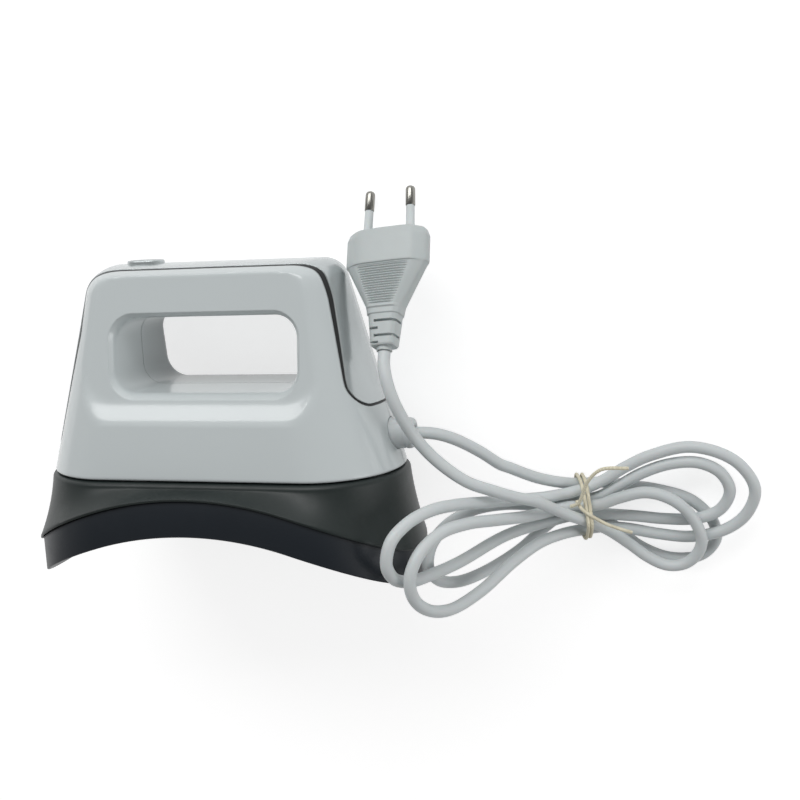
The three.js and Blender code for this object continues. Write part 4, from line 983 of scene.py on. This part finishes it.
shroud_rings = [shoulder(SHOULDER - drawn, DECK - drop) for drawn, drop in round_over(SHOULDER_DROP, 9)[::-1]]
shroud_rings += [flare_ring(share) for share in np.linspace(0.07, 1.0, 15)]
RIM_PLACES = (*EDGE_BREAK, (SHROUD_WALL, 0.0), (SHROUD_WALL, 0.6))
shroud_rings += [rim_ring(inset, lift) for inset, lift in RIM_PLACES]
shroud_rings += [shoulder(SHOULDER - SHROUD_WALL, DECK - SHROUD_WALL)]
shroud = skin("base_shroud_skin", closed_rings(shroud_rings))
finished(shroud, "shroud_grey", "base_shroud")

# %% Plate
PLATE_EDGE, RIM_WIDTH, SLAB_THICK = 0.8, 5.0, 6.0


def plate_ring(inset, above):
    return arched(plate_outline(-inset), above)


plate_rings = [plate_ring(inset, above) for above, inset in round_over(PLATE_EDGE, 6)]
plate_rings += [plate_ring(inset, PLATE_THICK - drop) for inset, drop in EDGE_BREAK]
plate_rings += [plate_ring(RIM_WIDTH, PLATE_THICK), plate_ring(RIM_WIDTH, SLAB_THICK)]
plate = skin("heat_plate_skin", closed_rings(plate_rings))
finished(plate, "plate_coating", "heat_plate")

# %% [markdown]
# ## Gland, bezel and button
# The gland is a turned nub that holds the cord where it leaves the housing. The button sits in a
# raised oval bezel on the band; it is dished, with a small bar in its middle, and rides on its own
# body because it moves.


# %% Gland
def circle(radius, sides):
    turns = [2 * pi * i / sides for i in range(sides)]
    return [(radius * cos(turn), radius * sin(turn)) for turn in turns]


# radius and place along X
GLAND_RADIUS, GLAND_ROUND, GLAND_SIDES = 6.4, 1.8, 64
gland_profile = [(2.8, 66.7), (8.0, 66.7), (8.0, 68.9), (GLAND_RADIUS, 68.9), (GLAND_RADIUS, 80.0),
                 (6.15, 80.3), (6.15, 80.9), (GLAND_RADIUS, 81.2)]
gland_profile += [(GLAND_RADIUS - drawn, GLAND_TIP - drop) for drawn, drop in round_over(GLAND_ROUND, 7)]
gland_profile += [(3.4, GLAND_TIP), (2.9, GLAND_TIP - 0.4), (2.8, GLAND_TIP - 1.0)]
gland_rings = [[(along, y, GLAND_HEIGHT + z) for y, z in circle(radius, GLAND_SIDES)]
               for radius, along in gland_profile]
gland = skin("cord_gland_skin", gland_rings + [gland_rings[0]], FINE_WELD)
finished(gland, "cord_grey", "cord_gland")

# %% Bezel
bezel_foot, bezel_top, half_wall = 130.1, HOUSING_TOP + BEZEL_STAND, BEZEL_WALL / 2
bezel_rings = [pill_ring(bezel_foot, BEZEL_WALL), pill_ring(bezel_foot, 1.0), pill_ring(134.2, 1.0),
               pill_ring(134.2)]
bezel_rings += [pill_ring(bezel_top - drop, drawn) for drawn, drop in round_over(half_wall, 13, end=pi)]
bezel = skin("button_bezel_skin", bezel_rings + [bezel_rings[0]], FINE_WELD)
finished(bezel, "band_plastic", "button_bezel")

# %% Button and its bar
BUTTON_STAND, BUTTON_GAP, BUTTON_ROUND, DISH_REACH, DISH_DEPTH = 1.0, 0.3, 0.6, 3.2, 0.55
button_inset, button_top = BEZEL_WALL + BUTTON_GAP, HOUSING_TOP + BUTTON_STAND
button_places = round_over(BUTTON_ROUND, 8)
button_places += [(BUTTON_ROUND + DISH_REACH * share, DISH_DEPTH * sin(pi / 2 * share))
                  for share in np.linspace(0.1, 1.0, 10)]
button_rings = [pill_ring(129.1, button_inset)]
button_rings += [pill_ring(button_top - drop, button_inset + drawn) for drawn, drop in button_places]
button = skin("power_button_skin", closed_rings(button_rings))
finished(button, "white_plastic", "power_button", finish="button_plastic", body="button")
lens_rings = [pill_ring(z, inset, 4.4, 1.2) for z, inset in ((135.2, 0.0), (135.62, 0.0), (135.72, 0.1))]
lens = skin("button_lens_skin", closed_rings(lens_rings))
finished(lens, "lens_grey", "button_lens", body="button")

# %% [markdown]
# ## The plug
# The plug is one soft moulding: a flat head with chamfered sides, a tapering grip with fine ribs on
# both faces, and a slotted strain relief that lets the cord bend. Its section is an eight-sided
# outline that changes along its length. The ribs are pressed into the skin, and the slots are cut
# with small blocks, on one face and then, turned half round, on the other.

# %% Plug body
PLUG_START, PLUG_END = 1.7, 50.5
# place along the plug, half width, half depth, half width of the flat face, depth where the chamfer ends
PLUG_STATIONS = [
    (1.7, 4.7, 4.1, 3.2, 2.6), (2.4, 5.1, 4.45, 3.5, 2.9), (13.9, 6.3, 5.2, 4.4, 3.2),
    (14.2, 6.3, 5.2, 4.4, 3.2), (14.6, 6.9, 5.65, 4.8, 3.2), (16.6, 7.3, 5.7, 5.0, 3.1),
    (17.1, 7.4, 6.3, 5.1, 3.1), (17.8, 7.6, 6.3, 5.1, 3.1), (18.1, 7.7, 5.9, 5.2, 3.0),
    (34.6, 16.4, 6.1, 10.9, 2.6), (35.3, 16.9, 6.15, 11.1, 2.6), (35.6, 17.3, 6.75, 11.2, 2.4),
    (36.2, 17.5, 6.85, 11.2, 2.4), (47.0, 17.5, 6.85, 11.2, 2.4), (49.4, 16.6, 6.65, 10.9, 2.2),
    (50.2, 15.8, 6.2, 10.3, 2.0), (50.5, 15.0, 5.6, 9.8, 1.7)]
RIB_FROM, RIB_TO, RIB_COUNT, RIB_DEPTH = 18.4, 34.9, 16, 0.75
SIDE_STEPS, SOFTER, FINE_FROM, FINE_TO = 14, 5, 18.0, 35.0


def plug_outline(half_width, half_depth, face, side):
    """The eight-sided section, with its places drawn towards the corners and softened there."""
    corners = [(-face, -half_depth), (face, -half_depth), (half_width, -side), (half_width, side),
               (face, half_depth), (-face, half_depth), (-half_width, side), (-half_width, -side)]
    outline = []
    for a, b in zip(corners, corners[1:] + corners[:1]):
        for share in np.arange(SIDE_STEPS) / SIDE_STEPS:
            share += 0.12 * sin(2 * pi * share)
            outline.append((a[0] + (b[0] - a[0]) * share, a[1] + (b[1] - a[1]) * share))
    points = np.array(outline)
    for _ in range(SOFTER):
        points = 0.5 * points + 0.25 * (np.roll(points, 1, 0) + np.roll(points, -1, 0))
    return points


plug_rings = []
stations = np.array(PLUG_STATIONS)
along_values = np.concatenate([np.arange(PLUG_START, FINE_FROM, 0.4), np.arange(FINE_FROM, FINE_TO, 0.14),
                               np.arange(FINE_TO, PLUG_END, 0.3), stations[:, 0]])
for along in np.unique(along_values.round(3)):
    width, depth, face, side = (float(np.interp(along, stations[:, 0], stations[:, k])) for k in range(1, 5))
    ring = plug_outline(width, depth, face, side)
    if RIB_FROM < along < RIB_TO:
        wave = 0.5 - 0.5 * cos(2 * pi * (along - RIB_FROM) / (RIB_TO - RIB_FROM) * RIB_COUNT)
        inside = np.clip((face - 0.4 - np.abs(ring[:, 0])) / 0.5, 0, 1) * (np.abs(ring[:, 1]) > depth * 0.8)
        ring[:, 1] += np.sign(ring[:, 1]) * inside * (wave - 0.5) * RIB_DEPTH
    plug_rings.append(np.column_stack([ring, np.full(len(ring), along)]))
ends = [plug_rings[i] * (0, 0, 1) for i in (0, -1)]
plug = skin("plug_skin", [ends[0], *plug_rings, ends[1]], FINE_WELD)
print("plug rings:", len(plug_rings))

# %% Slots of the strain relief, sockets of the pins and the collar
CORE, PAST_RELIEF = 3.1, 9.0
# place along the plug, and the slot's start and end across it. A slot that runs off turns the corner
SLOTS = ((11.4, -3.0, PAST_RELIEF), (5.4, -2.9, PAST_RELIEF), (8.4, -5.2, -1.2), (2.6, -4.8, -1.0))
for half_turn in (False, True):
    for along, start, end in SLOTS:
        sides = along - 0.5, along + 0.5
        slot_tool = block(start, end, -PAST_RELIEF, -CORE, *sides)
        if end == PAST_RELIEF:
            combine(slot_tool, block(CORE + 1.2, end, -PAST_RELIEF, 1.5, *sides), "UNION")
        if half_turn:
            slot_tool.data.transform(Matrix.Rotation(pi, 4, "Z"))
        combine(plug, slot_tool)
PIN_SPACING, PIN_RADIUS, PIN_LENGTH, SOCKET, PIN_SIDES, PIN_LEAN, COLLAR = 18.6, 2.0, 19.0, 4.0, 40, 0.5, 3.15
for pin_x in (-PIN_SPACING / 2, PIN_SPACING / 2):
    combine(plug, rod_along("z", PIN_RADIUS + FIT, PLUG_END - SOCKET, PLUG_END + 5, pin_x, 0.0, PIN_SIDES))
combine(plug, rod_along("z", COLLAR, 0.0, 3.0, 0.0, 0.0), "UNION")
plug_basis = Matrix([plug_across, plug_axis.cross(plug_across), plug_axis]).transposed().to_4x4()
plug_place = on_table @ Matrix.Translation(relief_end) @ plug_basis
finished(plug, "cord_grey", "plug_body", finish="plug_grey", sharp=28.0, place=plug_place)

# %% [markdown]
# ## The pins
# Each pin has a bare nickel tip and a slimmer pale sleeve towards the plug, with a small collar at
# its foot. Pin and sleeve are lofts round one axis, leaned in a little as the real ones are.


# %% Pins and their sleeves
def turned_up(name, profile):
    return skin(name, [at_height(circle(radius, PIN_SIDES), z) for radius, z in profile], FINE_WELD)


# length of the bare tip, radius inside the sleeve and at the step behind the tip, rounding of the tip
BARE, CORE_RADIUS, STEP_RADIUS, TIP_NARROW, TIP_ROUND = 8.6, 1.5, 1.9, 1.5, 1.6
bare_from, pin_foot, collar_radius = PIN_LENGTH - BARE, -SOCKET + FIT, 2.35
pin_profile = [(0.0, pin_foot), (CORE_RADIUS, pin_foot), (CORE_RADIUS, bare_from), (STEP_RADIUS, bare_from),
               (PIN_RADIUS, bare_from + 0.15), (PIN_RADIUS, PIN_LENGTH - TIP_ROUND)]
pin_profile += [(PIN_RADIUS - TIP_NARROW * drawn, PIN_LENGTH - TIP_ROUND * drop)
                for drawn, drop in round_over(1.0, 8, 0.15)]
pin_profile += [(0.0, PIN_LENGTH)]
sleeve_profile = [(CORE_RADIUS, pin_foot), (STEP_RADIUS, pin_foot), (PIN_RADIUS, 0.0), (collar_radius, 0.1),
                  (collar_radius, 0.7), (2.2, 0.95), (1.95, 1.1), (1.82, 1.4), (1.74, bare_from - 0.25),
                  (1.66, bare_from - 0.05), (CORE_RADIUS, bare_from - 0.05), (CORE_RADIUS, pin_foot)]
pins = []
for number, side in ((1, -1), (2, 1)):
    lean = Matrix.Rotation(atan2(-side * PIN_LEAN, PIN_LENGTH), 4, "Y")
    foot = plug_place @ Matrix.Translation((side * PIN_SPACING / 2, 0.0, PLUG_END)) @ lean
    pin = turned_up(f"plug_pin_{number}_tip", pin_profile)
    finished(pin, "nickel", f"plug_pin_{number}", place=foot)
    sleeve = turned_up(f"plug_pin_{number}_sleeve", sleeve_profile)
    finished(sleeve, "cord_grey", place=foot)
    pins += [pin, sleeve]

# %% [markdown]
# ## The tie
# A paper-covered wire goes twice round the waist of the hank, is twisted on top and leaves two
# tails. It follows the same ring as the CAD's solid, with a second turn beside it.

# %% Twist tie
TIE_DIAMETER, WAIST = 1.5, 146.0
RING = [(-41.1, 0), (-41.1, 6), (-43, 9.6), (-53.4, 17.2), (-56.4, 18), (-59.8, 16.6), (-65.4, 12.4),
        (-66.9, 8.8), (-66.4, 5.4), (-62, -1.8), (-58.6, -4.1), (-45, -4.1), (-42, -2.8)]


def closed_curve(points, steps):
    count = len(points)
    wrapped = [points[(i - 2) % count] for i in range(count + 4)]
    return smooth_curve(wrapped, steps)[2 * steps:(count + 2) * steps]


ring_line = closed_curve([on_sheet(WAIST, y, above) for y, above in RING], 8)
SECOND_WAIST, second_turn = WAIST + 2.2, [(y * 0.97 - 1.4, above * 0.98 + 0.3) for y, above in RING]
second_ring = closed_curve([on_sheet(SECOND_WAIST, y, above) for y, above in second_turn], 8)
tail_points = [
    vectors((144.2, -48.4, 21.8), (147.5, -46.2, 22.8), (149.8, -41, 23.6), (152.2, -34.6, 24.4),
            (158, -28.6, 25.4), (169, -28, 25.2)),
    vectors((146.6, -46.2, 20.6), (149.2, -49, 23.2), (153.6, -52.2, 23.6), (160, -56.4, 22.8),
            (169.4, -61, 20.6))]
tail_lines = [smooth_curve(points, 8) for points in tail_points]
tie = tube("twist_tie_wire", [ring_line, second_ring, *tail_lines], TIE_DIAMETER, "tie_cream", closed=2)
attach(tie, "press")
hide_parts("twist_tie")
print("tie lines:", len(tie.data.splines))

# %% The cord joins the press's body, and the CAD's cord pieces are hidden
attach(cord, "press")
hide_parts("cord_press_stretch", "cord_hank", "cord_plug_stretch")
cord_line[0] * MM

# %% [markdown]
# ## Table and light
# A plain pale table and soft lamps show the piece without drama. The floor looks white to the
# camera and to reflections, but keeps the object's shadow. A long lamp stands beyond the crown, so
# ledges and edges that face it are bright, and a weaker one fills from the right.

# %% Floor
bpy.ops.object.select_all(action="DESELECT")
bpy.ops.mesh.primitive_plane_add(size=6.0)
floor = bpy.context.object
floor.name = "table"
paper = Finish("table_paper")
sight = paper.node("ShaderNodeLightPath", output="Is Camera Ray")
sight = sight.most(paper.node("ShaderNodeLightPath", output="Is Glossy Ray"))
TABLE_GLOW = 0.7
shade = paper.blend(paper.noise(3.0, 3.0), grey(0.66), grey(0.64))
lit = paper.node("ShaderNodeBsdfDiffuse", {"Color": shade})
glow = paper.node("ShaderNodeEmission", {"Strength": sight * TABLE_GLOW})
floor.data.materials.append(paper.show(paper.node("ShaderNodeAddShader", {0: lit, 1: glow})))


# %% Lamps and world
def lamp(name, place, aim, length, width, watts):
    data = bpy.data.lights.new(name, "AREA")
    data.shape = "RECTANGLE"
    data.size, data.size_y = length, width
    data.energy = watts
    made = added(name, data)
    made.location = place
    made.rotation_euler = (Vector(place) - Vector(aim)).to_track_quat("Z", "Y").to_euler()


LAMP_AIM = (0.05, 0.0, 0.03)
lamp("key_lamp", (-0.25, 1.75, 0.95), LAMP_AIM, 2.2, 0.8, 24.0)
lamp("fill_lamp", (1.7, -0.2, 0.7), LAMP_AIM, 0.8, 0.8, 6.0)
bpy.context.scene.world = bpy.data.worlds.new("studio")
sky = Finish("studio", bpy.context.scene.world)
DOME_LOW, DOME_HIGH = 0.48, 0.2
ahead = sky.node("ShaderNodeLightPath", output="Is Camera Ray")
toward = sky.node("ShaderNodeTexCoord", output="Generated")
height = sky.node("ShaderNodeSeparateXYZ", {"Vector": toward}, output="Z")
dome = sky.ramp(height, (0.0, DOME_LOW), (0.35, DOME_LOW), (0.8, DOME_HIGH), (1.0, DOME_HIGH))
shown = sky.blend(ahead, dome, grey(1.0))
sky.show(sky.node("ShaderNodeBackground", {"Color": shown}), "ShaderNodeOutputWorld")
bpy.context.scene.view_settings.view_transform = "Standard"
print("lamps and world set")
